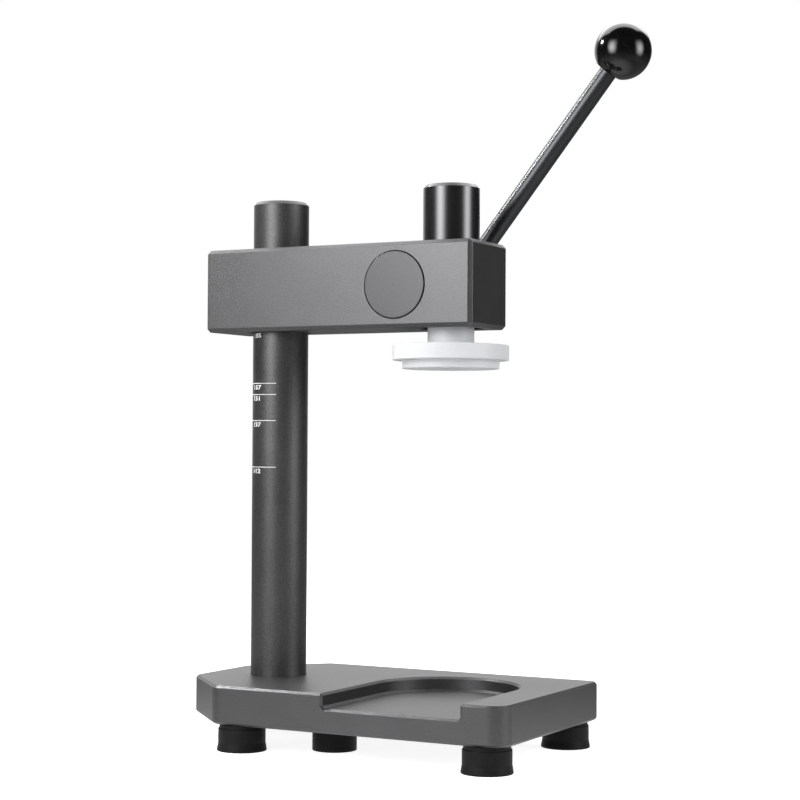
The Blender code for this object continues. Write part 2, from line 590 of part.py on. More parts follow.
def build_clamp(brass, zinc, plastic, pad_frame, knob_frame):
    """The rear clamp: a brass pad on the column, pushed by a stud with a lobed knob."""
    pad_start = COLUMN_RADIUS + FIT
    section = [(0, 0), (CLAMP_STUD_RADIUS, 0), (CLAMP_STUD_RADIUS, CLAMP_PAD_THICKNESS),
               (0, CLAMP_PAD_THICKNESS)]
    turned("clamp_pad", section, brass, (0, pad_start, 0), REAR, pad_frame, 16)
    stud_start = pad_start + CLAMP_PAD_THICKNESS + FIT
    knob_start = ARM_HALF_DEPTH + CLAMP_KNOB_GAP
    stud_length = knob_start + CLAMP_STUD_IN_KNOB - FIT - stud_start
    section = [(0, 0), (CLAMP_STUD_RADIUS, 0), (CLAMP_STUD_RADIUS, stud_length), (0, stud_length)]
    turned("clamp_stud", section, zinc, (0, stud_start, 0), REAR, knob_frame, 16)
    outline = []
    steps = 6 * CLAMP_KNOB_LOBES
    for step in range(steps):
        angle = step * math.tau / steps
        radius = CLAMP_KNOB_RADIUS - CLAMP_KNOB_FLUTE * math.sin(CLAMP_KNOB_LOBES * angle / 2) ** 2
        outline.append((radius * math.cos(angle), radius * math.sin(angle)))
    knob = extruded("clamp_knob", outline, CLAMP_KNOB_THICKNESS, plastic, (0, knob_start, 0), REAR,
                    knob_frame)
    chamfer(knob, CLAMP_KNOB_FLUTE / 2)
    drill(knob, "knob_socket", CLAMP_STUD_RADIUS + FIT, CLAMP_STUD_IN_KNOB + CLAMP_KNOB_GAP,
          (0, knob_start + CLAMP_STUD_IN_KNOB, 0), FRONT, knob_frame, 16)


def build_machine():
    """Every piece of the press, body by body."""
    clear_scene()
    aluminium = make_material("anodised_aluminium", (0.16, 0.16, 0.165), 0.45, 0.8)
    black_steel = make_material("black_steel", (0.012, 0.012, 0.013), 0.3, 0.4)
    steel = make_material("ground_steel", (0.45, 0.45, 0.46), 0.3, 1.0)
    zinc = make_material("zinc_plate", (0.55, 0.55, 0.56), 0.35, 1.0)
    bronze = make_material("bronze", (0.45, 0.27, 0.12), 0.4, 1.0)
    brass = make_material("brass", (0.6, 0.42, 0.15), 0.35, 1.0)
    white_nylon = make_material("white_nylon", (0.8, 0.8, 0.79), 0.45, 0.0)
    dark_nylon = make_material("dark_nylon", (0.02, 0.02, 0.02), 0.5, 0.0)
    rubber = make_material("rubber", (0.01, 0.01, 0.011), 0.75, 0.0)
    gloss_plastic = make_material("black_phenolic", (0.006, 0.006, 0.006), 0.12, 0.0)

    plate = build_base(aluminium)
    build_feet(plate, rubber, zinc)
    build_column(black_steel, zinc)

    sleeve = add_frame("height_slide", (COLUMN_X, 0, ARM_BOTTOM))
    build_column_bushes(dark_nylon, sleeve)
    arm = add_frame("arm_swivel", (0, 0, 0), sleeve)
    build_arm(aluminium, bronze, dark_nylon, arm)
    lever = add_frame("lever_pivot", (PINION_REACH, 0, ARM_MIDDLE), arm)
    build_shaft(steel, zinc, lever)
    build_hub(black_steel, zinc, lever)
    build_lever(black_steel, gloss_plastic, lever)
    ram = add_frame("ram_slide", (RAM_REACH, 0, 0), arm)
    build_ram(black_steel, white_nylon, zinc, ram)
    pad_frame = add_frame("clamp_pad_slide", (0, 0, ARM_MIDDLE), arm)
    knob_frame = add_frame("clamp_knob_turn", (0, 0, 0), pad_frame)
    build_clamp(brass, zinc, gloss_plastic, pad_frame, knob_frame)


build_machine()
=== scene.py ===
import math

import bpy
from mathutils import Matrix, Vector


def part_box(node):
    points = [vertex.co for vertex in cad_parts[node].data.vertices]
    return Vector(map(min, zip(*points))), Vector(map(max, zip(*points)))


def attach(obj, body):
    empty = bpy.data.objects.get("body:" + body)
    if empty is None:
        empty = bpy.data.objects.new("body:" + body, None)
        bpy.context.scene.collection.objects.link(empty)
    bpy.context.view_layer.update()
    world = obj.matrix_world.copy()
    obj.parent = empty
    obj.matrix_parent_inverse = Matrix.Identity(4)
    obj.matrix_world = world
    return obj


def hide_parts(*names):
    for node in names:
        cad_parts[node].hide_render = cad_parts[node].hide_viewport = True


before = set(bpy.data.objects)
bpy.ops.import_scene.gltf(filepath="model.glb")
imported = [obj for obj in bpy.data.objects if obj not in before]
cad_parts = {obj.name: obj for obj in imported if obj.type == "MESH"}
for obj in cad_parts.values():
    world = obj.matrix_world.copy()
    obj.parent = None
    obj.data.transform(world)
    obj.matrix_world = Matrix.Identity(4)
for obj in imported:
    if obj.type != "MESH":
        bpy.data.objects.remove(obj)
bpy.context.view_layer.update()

# ---------------------------------------------------------------------------
# Camera: a long portrait lens, level with the arm's underside, turned a little
# over a quarter of the way from the front towards the right side of the press.
EYE = Vector((0.479377, -0.901032, 0.159257))
EYE_RIGHT = Vector((0.880590, 0.473845, 0.005651))
EYE_UP = Vector((0.005524, -0.022189, 0.999739))
EYE_AHEAD = Vector((-0.473846, 0.880329, 0.022157))
LENS_MM = 87.65
SENSOR_MM = 36.0
CAMERA_CLIP = (0.05, 20.0)

camera_data = bpy.data.cameras.new("camera")
camera_data.lens = LENS_MM
camera_data.sensor_width = SENSOR_MM
camera_data.clip_start, camera_data.clip_end = CAMERA_CLIP
camera = bpy.data.objects.new("camera", camera_data)
bpy.context.scene.collection.objects.link(camera)
turn = Matrix((EYE_RIGHT, EYE_UP, -EYE_AHEAD)).transposed()
camera.matrix_world = Matrix.Translation(EYE) @ turn.to_4x4()
bpy.context.scene.camera = camera
bpy.context.scene.view_settings.view_transform = "Standard"

# ---------------------------------------------------------------------------
# Studio: a white room with soft boxes to the front left, the right and above
# the back. Mirrors see a white wall to the rear left and a dim room elsewhere,
# and the room's own light on the object stays low and even.
ROOM_LIGHT = 0.26
DIM_SIDE = 0.02
WALL_WHITE = 1.0
WALL_WAY = Vector((-0.565, 0.806, 0.17))
WALL_EDGE = (0.68, 0.95)


def shader_node(tree, kind, **values):
    """A node of this kind, with its plain settings and its sockets' values."""
    made = tree.nodes.new(kind)
    for key, value in values.items():
        if hasattr(made, key):
            setattr(made, key, value)
        else:
            made.inputs[key.replace("_", " ")].default_value = value
    return made


def fed(tree, made, *feeds):
    """Feed a node's sockets in their order, by other sockets or plain values; its first output."""
    for socket, feed in zip(made.inputs, feeds):
        if isinstance(feed, bpy.types.NodeSocket):
            tree.links.new(feed, socket)
        elif feed is not None:
            socket.default_value = feed
    return made.outputs[0]


def math_step(tree, operation, *feeds):
    """One step of arithmetic."""
    return fed(tree, shader_node(tree, "ShaderNodeMath", operation=operation), *feeds)


def mix_step(tree, factor, first, second):
    """The first value at a factor of 0, and the second at 1."""
    return fed(tree, shader_node(tree, "ShaderNodeMix", data_type="FLOAT"), factor, None, first, second)


def ramp_step(tree, feed, ends, results=(0.0, 1.0), kind="LINEAR"):
    """A ramp from one result to the other while the feed runs between the two ends."""
    ramp = shader_node(tree, "ShaderNodeMapRange", interpolation_type=kind)
    return fed(tree, ramp, feed, *ends, *results)


def eyes_only(tree):
    """The light path, and 1 for rays of the camera, of mirrors and of glass, 0 for all others."""
    path = shader_node(tree, "ShaderNodeLightPath")
    either = math_step(tree, "MAXIMUM", path.outputs["Is Camera Ray"], path.outputs["Is Glossy Ray"])
    return path, math_step(tree, "MAXIMUM", either, path.outputs["Is Transmission Ray"])


world = bpy.data.worlds.new("room")
bpy.context.scene.world = world
world.use_nodes = True
room = world.node_tree
room.nodes.clear()
path, seen = eyes_only(room)
direction = shader_node(room, "ShaderNodeTexCoord")
facing = shader_node(room, "ShaderNodeVectorMath", operation="DOT_PRODUCT")
fed(room, facing, direction.outputs["Generated"], WALL_WAY.normalized())
wall = ramp_step(room, facing.outputs["Value"], WALL_EDGE, (DIM_SIDE, WALL_WHITE), "SMOOTHSTEP")
in_mirrors = mix_step(room, seen, ROOM_LIGHT, wall)
sky = shader_node(room, "ShaderNodeBackground")
fed(room, sky, (1.0, 1.0, 1.0, 1.0), mix_step(room, path.outputs["Is Camera Ray"], in_mirrors, 1.0))
exit_node = shader_node(room, "ShaderNodeOutputWorld")
room.links.new(sky.outputs[0], exit_node.inputs["Surface"])


def soft_box(name, place, aim, size, watts, edge=0.5):
    """A rectangular lamp that fades towards its edges like a cloth-fronted box."""
    lamp = bpy.data.lights.new(name, "AREA")
    lamp.shape = "RECTANGLE"
    lamp.size, lamp.size_y = size
    lamp.energy = watts
    lamp.use_nodes = True
    tree = lamp.node_tree
    glow = next(node for node in tree.nodes if node.type == "EMISSION")
    across = shader_node(tree, "ShaderNodeNewGeometry")
    sides = shader_node(tree, "ShaderNodeSeparateXYZ")
    tree.links.new(across.outputs["Parametric"], sides.inputs[0])
    strengths = []
    for side in ("X", "Y"):
        apart = math_step(tree, "ABSOLUTE", math_step(tree, "SUBTRACT", sides.outputs[side], 0.5))
        strengths.append(ramp_step(tree, apart, (0.5 - edge, 0.5), (1.0, 0.0), "SMOOTHSTEP"))
    tree.links.new(math_step(tree, "MULTIPLY", *strengths), glow.inputs["Strength"])
    holder = bpy.data.objects.new(name, lamp)
    bpy.context.scene.collection.objects.link(holder)
    holder.location = place
    facing_way = Vector(aim) - holder.location
    holder.rotation_euler = facing_way.to_track_quat("-Z", "Y").to_euler()
    return holder


soft_box("front_left_box", (-0.20, -0.65, 0.46), (0.0, 0.0, 0.26), (0.66, 0.92), 21.0)
soft_box("right_box", (0.90, 0.06, 0.42), (0.0, 0.0, 0.24), (0.70, 0.95), 17.0)
soft_box("left_spot", (-0.72, -0.12, 0.77), (0.0, 0.0, 0.12), (0.12, 0.12), 10.0, edge=0.25)
soft_box("rear_top_box", (-0.25, 0.54, 1.24), (0.05, 0.0, 0.30), (2.0, 1.25), 27.0, edge=0.15)

# Floor: a pale sheet under the feet. It takes the press's soft shadow, and to
# the eye it is lifted to the white of the room. Mirrors see a painted pool of
# light on it, pale near the press and fading to dark further out, and a floor
# colour darkened with painted shade.
FLOOR_SIDE = 12.0
FLOOR_LIFT = 0.88
# Painted pool of light seen in mirrors: its middle, its glow near and far, and where it fades.
PAINTED_POOL_MIDDLE = (0.03, -0.09, 0.0)
PAINTED_POOL_NEAR = 0.95
PAINTED_POOL_FADE = (0.10, 0.42)
PAINTED_POOL_FAR = 0.01
# The floor's own colour, then its darker colour as seen in mirrors, which is painted shade.
FLOOR_COLOUR_AND_MIRROR_SHADE = (0.60, 0.18)

bpy.ops.object.select_all(action="DESELECT")
bpy.ops.mesh.primitive_plane_add(size=FLOOR_SIDE, location=(0.0, 0.0, 0.0))
floor = bpy.context.object
floor.name = "floor"
paper = bpy.data.materials.new("white_floor")
paper.use_nodes = True
tree = paper.node_tree
tree.nodes.clear()
path, seen = eyes_only(tree)
matte = shader_node(tree, "ShaderNodeBsdfDiffuse")
# Painted shade: mirrors see the floor darker than its own colour.
shade = mix_step(tree, path.outputs["Is Glossy Ray"], *FLOOR_COLOUR_AND_MIRROR_SHADE)
tree.links.new(shade, matte.inputs["Color"])
place = shader_node(tree, "ShaderNodeTexCoord")
reach = shader_node(tree, "ShaderNodeVectorMath", operation="DISTANCE")
fed(tree, reach, place.outputs["Object"], PAINTED_POOL_MIDDLE)
# Painted pool of light for mirrors: the floor's glow fades from pale near the press to dark further out.
painted_pool = ramp_step(tree, reach.outputs["Value"], PAINTED_POOL_FADE, (PAINTED_POOL_NEAR, PAINTED_POOL_FAR), "SMOOTHSTEP")
camera_white_mirror_pool = mix_step(tree, path.outputs["Is Camera Ray"], painted_pool, 1.0)
# The camera sees an even white lift, and mirrors see the painted pool of light.
white_lift_and_painted_pool = math_step(tree, "MULTIPLY", math_step(tree, "MULTIPLY", seen, camera_white_mirror_pool), FLOOR_LIFT)
glow = shader_node(tree, "ShaderNodeEmission")
tree.links.new(white_lift_and_painted_pool, glow.inputs["Strength"])
both = shader_node(tree, "ShaderNodeAddShader")
tree.links.new(matte.outputs[0], both.inputs[0])
tree.links.new(glow.outputs[0], both.inputs[1])
leaving = shader_node(tree, "ShaderNodeOutputMaterial")
tree.links.new(both.outputs[0], leaving.inputs["Surface"])
floor.data.materials.append(paper)

# ---------------------------------------------------------------------------
# Base plate: 20 mm aluminium plate, milled to its outline with two corners cut
# off, a round-ended pocket for the container, chamfered, blasted and anodised.
PLATE_CHAMFER_LEG = 0.035
PLATE_FRONT_RADIUS = 0.010
PLATE_REAR_RADIUS = 0.006
PLATE_EDGE = 0.0012
POCKET_DEPTH = 0.0075
POCKET_RADIUS = 0.0385
POCKET_REACH = 0.1010
COLUMN_SEAT_RADIUS = 0.0153
COLUMN_SEAT_DEPTH = 0.006
COLUMN_BOLT_HOLE = 0.0053
COLUMN_COUNTERBORE = (0.0103, 0.0086)
DRILL_START = 0.01
FOOT_HOLE = (0.0028, 0.0093)

UP = (0.0, 0.0, 0.0)
FRONT = (math.pi / 2, 0.0, 0.0)
REAR = (-math.pi / 2, 0.0, 0.0)

# Shop rules: a corner whose half angle is wider than this stays as drawn, points
# this close are one point (after a cut the wider of the two holds), and an edge
# that bends less than this looks smooth.
STRAIGHT_HALF = math.radians(89.5)
ONE_POINT = 1e-7
ONE_POINT_AFTER_CUT = 1e-6
SMOOTH_BELOW = math.radians(32)


def eased(corners, steps=4):
    """An outline of (x, y, radius) corners with each one rounded by its radius."""
    points = []
    for index, (x, y, radius) in enumerate(corners):
        here = Vector((x, y))
        if not radius:
            points.append((x, y))
            continue
        back = (Vector(corners[index - 1][:2]) - here).normalized()
        ahead = (Vector(corners[(index + 1) % len(corners)][:2]) - here).normalized()
        half = back.angle(ahead) / 2
        if half > STRAIGHT_HALF:
            points.append((x, y))
            continue
        centre = here + (back + ahead).normalized() * (radius / math.sin(half))
        start = here + back * (radius / math.tan(half)) - centre
        end = here + ahead * (radius / math.tan(half)) - centre
        for step in range(steps + 1):
            points.append((centre + start.slerp(end, step / steps).normalized() * radius)[:])
    return points


def rim_arc(centre, radius, start, end, steps):
    """Points on an arc, both ends included, its angles in radians."""
    turns = [start + (end - start) * step / steps for step in range(steps + 1)]
    return [(centre[0] + radius * math.cos(a), centre[1] + radius * math.sin(a)) for a in turns]


def draw_line(name, points):
    """Draw a line point by point, as by hand, and stay in edit mode with all of it selected."""
    bpy.ops.object.select_all(action="DESELECT")
    bpy.ops.mesh.primitive_plane_add(size=0.001, location=(0.0, 0.0, 0.0))
    drawn = bpy.context.object
    drawn.name = name
    drawn.data.name = name
    bpy.ops.object.mode_set(mode="EDIT")
    bpy.ops.mesh.merge(type="CENTER")
    bpy.ops.transform.translate(value=points[0])
    for here, ahead in zip(points, points[1:]):
        step = tuple(b - a for a, b in zip(here, ahead))
        bpy.ops.mesh.extrude_region_move(TRANSFORM_OT_translate={"value": step})
    bpy.ops.mesh.select_all(action="SELECT")
    bpy.ops.mesh.remove_doubles(threshold=ONE_POINT)
    return drawn


def set_down(piece, place, pointing):
    """Close the shape, leave edit mode and put the piece in its place, in its mesh."""
    bpy.ops.mesh.select_all(action="SELECT")
    bpy.ops.mesh.remove_doubles(threshold=ONE_POINT)
    bpy.ops.mesh.normals_make_consistent(inside=False)
    bpy.ops.object.mode_set(mode="OBJECT")
    piece.rotation_euler = pointing
    piece.location = place
    bpy.ops.object.transform_apply(location=True, rotation=True, scale=True)
    return piece


def turned(name, corners, place, pointing=UP, steps=96, easing=4):
    """A piece from the lathe: (radius, height, rounding) corners spun about its own axis."""
    outline = [(x, 0.0, z) for x, z in eased(corners, easing)]
    if corners[0][0] > 0:
        outline.append(outline[0])
    piece = draw_line(name, outline)
    bpy.ops.mesh.spin(steps=steps, angle=math.tau, center=(0, 0, 0), axis=(0, 0, 1))
    return set_down(piece, place, pointing)


def milled(name, outline, height, place, pointing=UP):
    """A piece from plate: a closed flat outline, filled and extruded along its own axis."""
    points = [(x, y, 0.0) for x, y in outline]
    piece = draw_line(name, points + points[:1])
    bpy.ops.mesh.edge_face_add()
    bpy.ops.mesh.extrude_region_move(TRANSFORM_OT_translate={"value": (0.0, 0.0, height)})
    return set_down(piece, place, pointing)


def pick(piece):
    """Select this piece alone and make it the active one."""
    bpy.ops.object.select_all(action="DESELECT")
    piece.select_set(True)
    bpy.context.view_layer.objects.active = piece


def apply_step(piece, kind, **values):
    """Add a modifier with its values and apply it."""
    step = piece.modifiers.new(kind.lower(), kind)
    for key, value in values.items():
        setattr(step, key, value)
    pick(piece)
    bpy.ops.object.modifier_apply(modifier=step.name)


def cut_away(piece, *tools, operation="DIFFERENCE"):
    """Cut each tool's shape out of the piece, or join it on, and put the tool away."""
    for tool in tools:
        apply_step(piece, "BOOLEAN", operation=operation, solver="EXACT", object=tool)
        bpy.data.objects.remove(tool)
        bpy.ops.object.mode_set(mode="EDIT")
        bpy.ops.mesh.select_all(action="SELECT")
        bpy.ops.mesh.remove_doubles(threshold=ONE_POINT_AFTER_CUT)
        bpy.ops.mesh.dissolve_degenerate(threshold=ONE_POINT_AFTER_CUT)
        bpy.ops.object.mode_set(mode="OBJECT")


def break_edges(piece, width, segments=1, angle=40):
    """Break every edge sharper than the angle."""
    apply_step(piece, "BEVEL", width=width, segments=segments, limit_method="ANGLE",
               angle_limit=math.radians(angle), miter_outer="MITER_ARC")


def drilled(piece, radius, length, place, pointing=UP, steps=64):
    """Drill a round hole that starts at its place and runs the way it points."""
    bit = turned("drill", [(0, 0, 0), (radius, 0, 0), (radius, length, 0), (0, length, 0)],
                 place, pointing, steps, 1)
    cut_away(piece, bit)


def dressed(piece, finish, node, body):
    """Smooth the piece, give it its finish, and put it on its body in place of its plain solid."""
    pick(piece)
    bpy.ops.object.shade_smooth_by_angle(angle=SMOOTH_BELOW)
    apply_step(piece, "WEIGHTED_NORMAL", keep_sharp=True, weight=70)
    piece.data.materials.clear()
    piece.data.materials.append(finish)
    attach(piece, body)
    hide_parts(node)
    return piece


def shader_group(name, inputs, outputs):
    """An empty node group with float or vector sockets, and its two end nodes."""
    group = bpy.data.node_groups.new(name, "ShaderNodeTree")
    for label, kind, value in inputs:
        socket = group.interface.new_socket(label, in_out="INPUT", socket_type=kind)
        if value is not None:
            socket.default_value = value
    for label, kind in outputs:
        group.interface.new_socket(label, in_out="OUTPUT", socket_type=kind)
    return group, group.nodes.new("NodeGroupInput"), group.nodes.new("NodeGroupOutput")


FLOAT, VECTOR = "NodeSocketFloat", "NodeSocketVector"
GRAIN_CONTRAST = (0.25, 0.75)
RING_CONTRAST = (0.3, 0.7)

# Grain: the fine pits of a blasted or moulded skin over a soft, wide mottling.
grain_group, given, out = shader_group(
    "skin_grain",
    [("Place", VECTOR, None), ("Cell", FLOAT, 2000.0), ("Patch", FLOAT, 60.0), ("Patchiness", FLOAT, 0.3)],
    [("Mask", FLOAT), ("Height", FLOAT)])
pits = shader_node(grain_group, "ShaderNodeTexNoise", noise_dimensions="3D", Detail=3.0, Roughness=0.6)
grain_group.links.new(given.outputs["Place"], pits.inputs["Vector"])
grain_group.links.new(given.outputs["Cell"], pits.inputs["Scale"])
cloud = shader_node(grain_group, "ShaderNodeTexNoise", noise_dimensions="3D", Detail=4.0, Roughness=0.55)
grain_group.links.new(given.outputs["Place"], cloud.inputs["Vector"])
grain_group.links.new(given.outputs["Patch"], cloud.inputs["Scale"])
sharper = ramp_step(grain_group, pits.outputs[0], GRAIN_CONTRAST)
patchy = math_step(grain_group, "MULTIPLY", math_step(grain_group, "SUBTRACT", cloud.outputs[0], 0.5),
                   given.outputs["Patchiness"])
mask = math_step(grain_group, "ADD", sharper, patchy)
grain_group.links.new(mask, out.inputs["Mask"])
grain_group.links.new(pits.outputs[0], out.inputs["Height"])

# Tool marks: the fine uneven rings that a lathe leaves about an axis.
ring_group, given, out = shader_group(
    "lathe_rings", [("Place", VECTOR, None), ("Pitch", FLOAT, 1500.0), ("Along", FLOAT, 0.0)],
    [("Height", FLOAT), ("Mask", FLOAT)])
parts = shader_node(ring_group, "ShaderNodeSeparateXYZ")
ring_group.links.new(given.outputs["Place"], parts.inputs[0])
reach = math_step(ring_group, "SQRT", math_step(
    ring_group, "ADD", math_step(ring_group, "MULTIPLY", parts.outputs["X"], parts.outputs["X"]),
    math_step(ring_group, "MULTIPLY", parts.outputs["Y"], parts.outputs["Y"])))
run = math_step(ring_group, "MULTIPLY", parts.outputs["Z"], given.outputs["Along"])
line = math_step(ring_group, "ADD", reach, run)
cuts = shader_node(ring_group, "ShaderNodeTexNoise", noise_dimensions="1D", Detail=5.0, Roughness=0.7)
ring_group.links.new(line, cuts.inputs["W"])
ring_group.links.new(given.outputs["Pitch"], cuts.inputs["Scale"])
ring_group.links.new(cuts.outputs[0], out.inputs["Height"])
ring_group.links.new(ramp_step(ring_group, cuts.outputs[0], RING_CONTRAST), out.inputs["Mask"])


def finish(name, deep, pale, rough, metallic, cell=2000.0, bump=0.00002, patchiness=0.3,
           patch=60.0, rings=0.0, centre=(0, 0, 0), lay=UP, pitch=1500.0, along=0.0, coat=0.0,
           coat_rough=0.05, specular=0.5):
    """A finish between two colours and two roughnesses, grained, and turned where it has rings."""
    made = bpy.data.materials.new(name)
    made.use_nodes = True
    tree = made.node_tree
    skin = tree.nodes["Principled BSDF"]
    skin.inputs["Metallic"].default_value = metallic
    skin.inputs["Coat Weight"].default_value = coat
    skin.inputs["Coat Roughness"].default_value = coat_rough
    skin.inputs["Specular IOR Level"].default_value = specular
    place = shader_node(tree, "ShaderNodeTexCoord")
    grain = shader_node(tree, "ShaderNodeGroup", node_tree=grain_group)
    tree.links.new(place.outputs["Object"], grain.inputs["Place"])
    grain.inputs["Cell"].default_value = cell
    grain.inputs["Patch"].default_value = patch
    grain.inputs["Patchiness"].default_value = patchiness
    mask, height = grain.outputs["Mask"], grain.outputs["Height"]
    if rings:
        on_axis = shader_node(tree, "ShaderNodeMapping", vector_type="TEXTURE")
        on_axis.inputs["Location"].default_value = centre
        on_axis.inputs["Rotation"].default_value = lay
        tree.links.new(place.outputs["Object"], on_axis.inputs["Vector"])
        marks = shader_node(tree, "ShaderNodeGroup", node_tree=ring_group)
        marks.inputs["Pitch"].default_value = pitch
        marks.inputs["Along"].default_value = along
        tree.links.new(on_axis.outputs[0], marks.inputs["Place"])
        mask = math_step(tree, "ADD", math_step(tree, "MULTIPLY", marks.outputs["Mask"], rings),
                         math_step(tree, "MULTIPLY", mask, 1.0 - rings))
        height = math_step(tree, "ADD", math_step(tree, "MULTIPLY", marks.outputs["Height"], rings),
                           math_step(tree, "MULTIPLY", height, 1.0 - rings))
    colour = shader_node(tree, "ShaderNodeMix", data_type="RGBA", clamp_factor=True)
    colour.inputs[6].default_value = (*deep, 1.0)
    colour.inputs[7].default_value = (*pale, 1.0)
    tree.links.new(mask, colour.inputs[0])
    tree.links.new(colour.outputs[2], skin.inputs["Base Color"])
    tree.links.new(ramp_step(tree, mask, (0.0, 1.0), rough), skin.inputs["Roughness"])
    relief = shader_node(tree, "ShaderNodeBump")
    relief.inputs["Strength"].default_value = 1.0
    relief.inputs["Distance"].default_value = bump
    tree.links.new(height, relief.inputs["Height"])
    tree.links.new(relief.outputs["Normal"], skin.inputs["Normal"])
    return made


anodised = finish("anodised_grey", (0.085, 0.085, 0.087), (0.135, 0.135, 0.138), (0.34, 0.44), 0.85,
                  cell=1900.0, bump=0.00008, patchiness=0.5, patch=45.0)

plate_low, plate_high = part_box("base_plate")
column_low, column_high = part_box("column")
column_x = (column_low.x + column_high.x) / 2
half_depth = plate_high.y
corners = [(plate_low.x + PLATE_CHAMFER_LEG, -half_depth, PLATE_FRONT_RADIUS),
           (plate_high.x, -half_depth, PLATE_FRONT_RADIUS),
           (plate_high.x, half_depth, PLATE_REAR_RADIUS),
           (plate_low.x + PLATE_CHAMFER_LEG, half_depth, PLATE_REAR_RADIUS),
           (plate_low.x, half_depth - PLATE_CHAMFER_LEG, PLATE_REAR_RADIUS),
           (plate_low.x, PLATE_CHAMFER_LEG - half_depth, PLATE_REAR_RADIUS)]
plate = milled("base_plate_fine", eased(corners, 10), plate_high.z - plate_low.z, (0, 0, plate_low.z))
pocket_x = column_x + POCKET_REACH
pocket_outline = [(pocket_x - POCKET_RADIUS, -2 * half_depth), (pocket_x + POCKET_RADIUS, -2 * half_depth)]
pocket_outline.extend(rim_arc((pocket_x, 0.0), POCKET_RADIUS, 0.0, math.pi, 72))
pocket = milled("pocket_cutter", pocket_outline, 2 * POCKET_DEPTH, (0, 0, plate_high.z - POCKET_DEPTH))
cut_away(plate, pocket)
break_edges(plate, PLATE_EDGE)
thickness = plate_high.z - plate_low.z
seat_floor = thickness - COLUMN_SEAT_DEPTH
cut_away(plate, turned("seat_cutter", [
    (0, -DRILL_START, 0), (COLUMN_COUNTERBORE[0], -DRILL_START, 0),
    (COLUMN_COUNTERBORE[0], COLUMN_COUNTERBORE[1], 0), (COLUMN_BOLT_HOLE, COLUMN_COUNTERBORE[1], 0),
    (COLUMN_BOLT_HOLE, seat_floor, 0), (COLUMN_SEAT_RADIUS, seat_floor, 0),
    (COLUMN_SEAT_RADIUS, thickness + DRILL_START, 0), (0, thickness + DRILL_START, 0)],
    (column_x, 0, plate_low.z), steps=64, easing=1))
foot_names = ["foot_front_left", "foot_front_right", "foot_rear_right", "foot_rear_left", "support_pad"]
foot_spots = {}
for foot_name in foot_names:
    low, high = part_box(foot_name)
    foot_spots[foot_name] = ((low.x + high.x) / 2, (low.y + high.y) / 2)
    drilled(plate, FOOT_HOLE[0], DRILL_START + FOOT_HOLE[1],
            (*foot_spots[foot_name], plate_low.z - DRILL_START), steps=32)
dressed(plate, anodised, "base_plate", "stand")

# ---------------------------------------------------------------------------
# Feet: four corner feet and one support pad of moulded black rubber, with a
# shoulder, a flared sole, and a recess for the screw that holds each of them.
FOOT_HEIGHT = 0.0137
FOOT_RADII = {"foot": 0.0123, "pad": 0.0116}
FOOT_FLARE = 0.0006
FOOT_SOLE = (0.0008, 0.0004)
FOOT_WAIST = (0.0042, 0.0018)
FOOT_SHOULDER = (0.0006, 0.0020)
FOOT_RECESS = (0.0056, 0.0070)
FOOT_BORE = 0.0028
SHARP_EASE = 0.0001
SMALL_EASE = 0.0002
SOFT_EASE = 0.0003

rubber = finish("moulded_rubber", (0.004, 0.004, 0.0045), (0.011, 0.011, 0.0115), (0.46, 0.62), 0.0,
                cell=1400.0, bump=0.00003, patchiness=0.5, patch=120.0, specular=0.18)


def foot_corners(radius, flare):
    """The foot's section, from the mouth of its recess outwards and up to the plate."""
    sole = radius + flare
    step, rise = FOOT_SHOULDER
    return [(FOOT_RECESS[0], 0.0, SOFT_EASE), (sole, 0.0, SOFT_EASE), (sole, *FOOT_SOLE),
            (radius, *FOOT_WAIST), (radius, FOOT_HEIGHT - rise, SOFT_EASE),
            (radius - step, FOOT_HEIGHT - rise, SHARP_EASE), (radius - step, FOOT_HEIGHT, SHARP_EASE),
            (FOOT_BORE, FOOT_HEIGHT, 0.0), (FOOT_BORE, FOOT_RECESS[1], 0.0),
            (*FOOT_RECESS, SMALL_EASE)]


def twin(piece, name, shift):
    """A copy of the piece with a mesh of its own, moved in its mesh."""
    copy = piece.copy()
    copy.data = piece.data.copy()
    copy.name = copy.data.name = name
    copy.parent = None
    bpy.context.scene.collection.objects.link(copy)
    pick(copy)
    copy.location = shift
    bpy.ops.object.transform_apply(location=True, rotation=True, scale=True)
    return copy


first_foot = turned("foot_front_left_fine", foot_corners(FOOT_RADII["foot"], FOOT_FLARE),
                    (*foot_spots["foot_front_left"], 0.0))
feet = {"foot_front_left": first_foot}
for foot_name in foot_names[1:4]:
    shift = Vector(foot_spots[foot_name]) - Vector(foot_spots["foot_front_left"])
    feet[foot_name] = twin(first_foot, foot_name + "_fine", (*shift, 0.0))
feet["support_pad"] = turned("support_pad_fine", foot_corners(FOOT_RADII["pad"], 0.0),
                             (*foot_spots["support_pad"], 0.0))
for foot_name, foot in feet.items():
    dressed(foot, rubber, foot_name, "stand")

# Foot screws: zinc-plated socket screws up through the feet into the plate. A
# screw's sizes are its radius, its head's radius and its head's height, and its
# key's are shares of its head.
FOOT_SCREW = (0.0025, 0.0045, 0.0040)
SCREW_EASE = 0.12
SCREW_SEAT_EASE = 0.3
SCREW_POINT = 0.25
KEY_REACH = 0.55
KEY_DEPTH = 0.5

zinc = finish("zinc_plate", (0.42, 0.43, 0.45), (0.60, 0.61, 0.62), (0.26, 0.38), 1.0,
              cell=900.0, bump=0.00001, patchiness=0.6, patch=200.0)


def hexagon(reach):
    """The outline of a hex key, its corners this far out."""
    return [(reach * math.cos(k * math.pi / 3), reach * math.sin(k * math.pi / 3)) for k in range(6)]


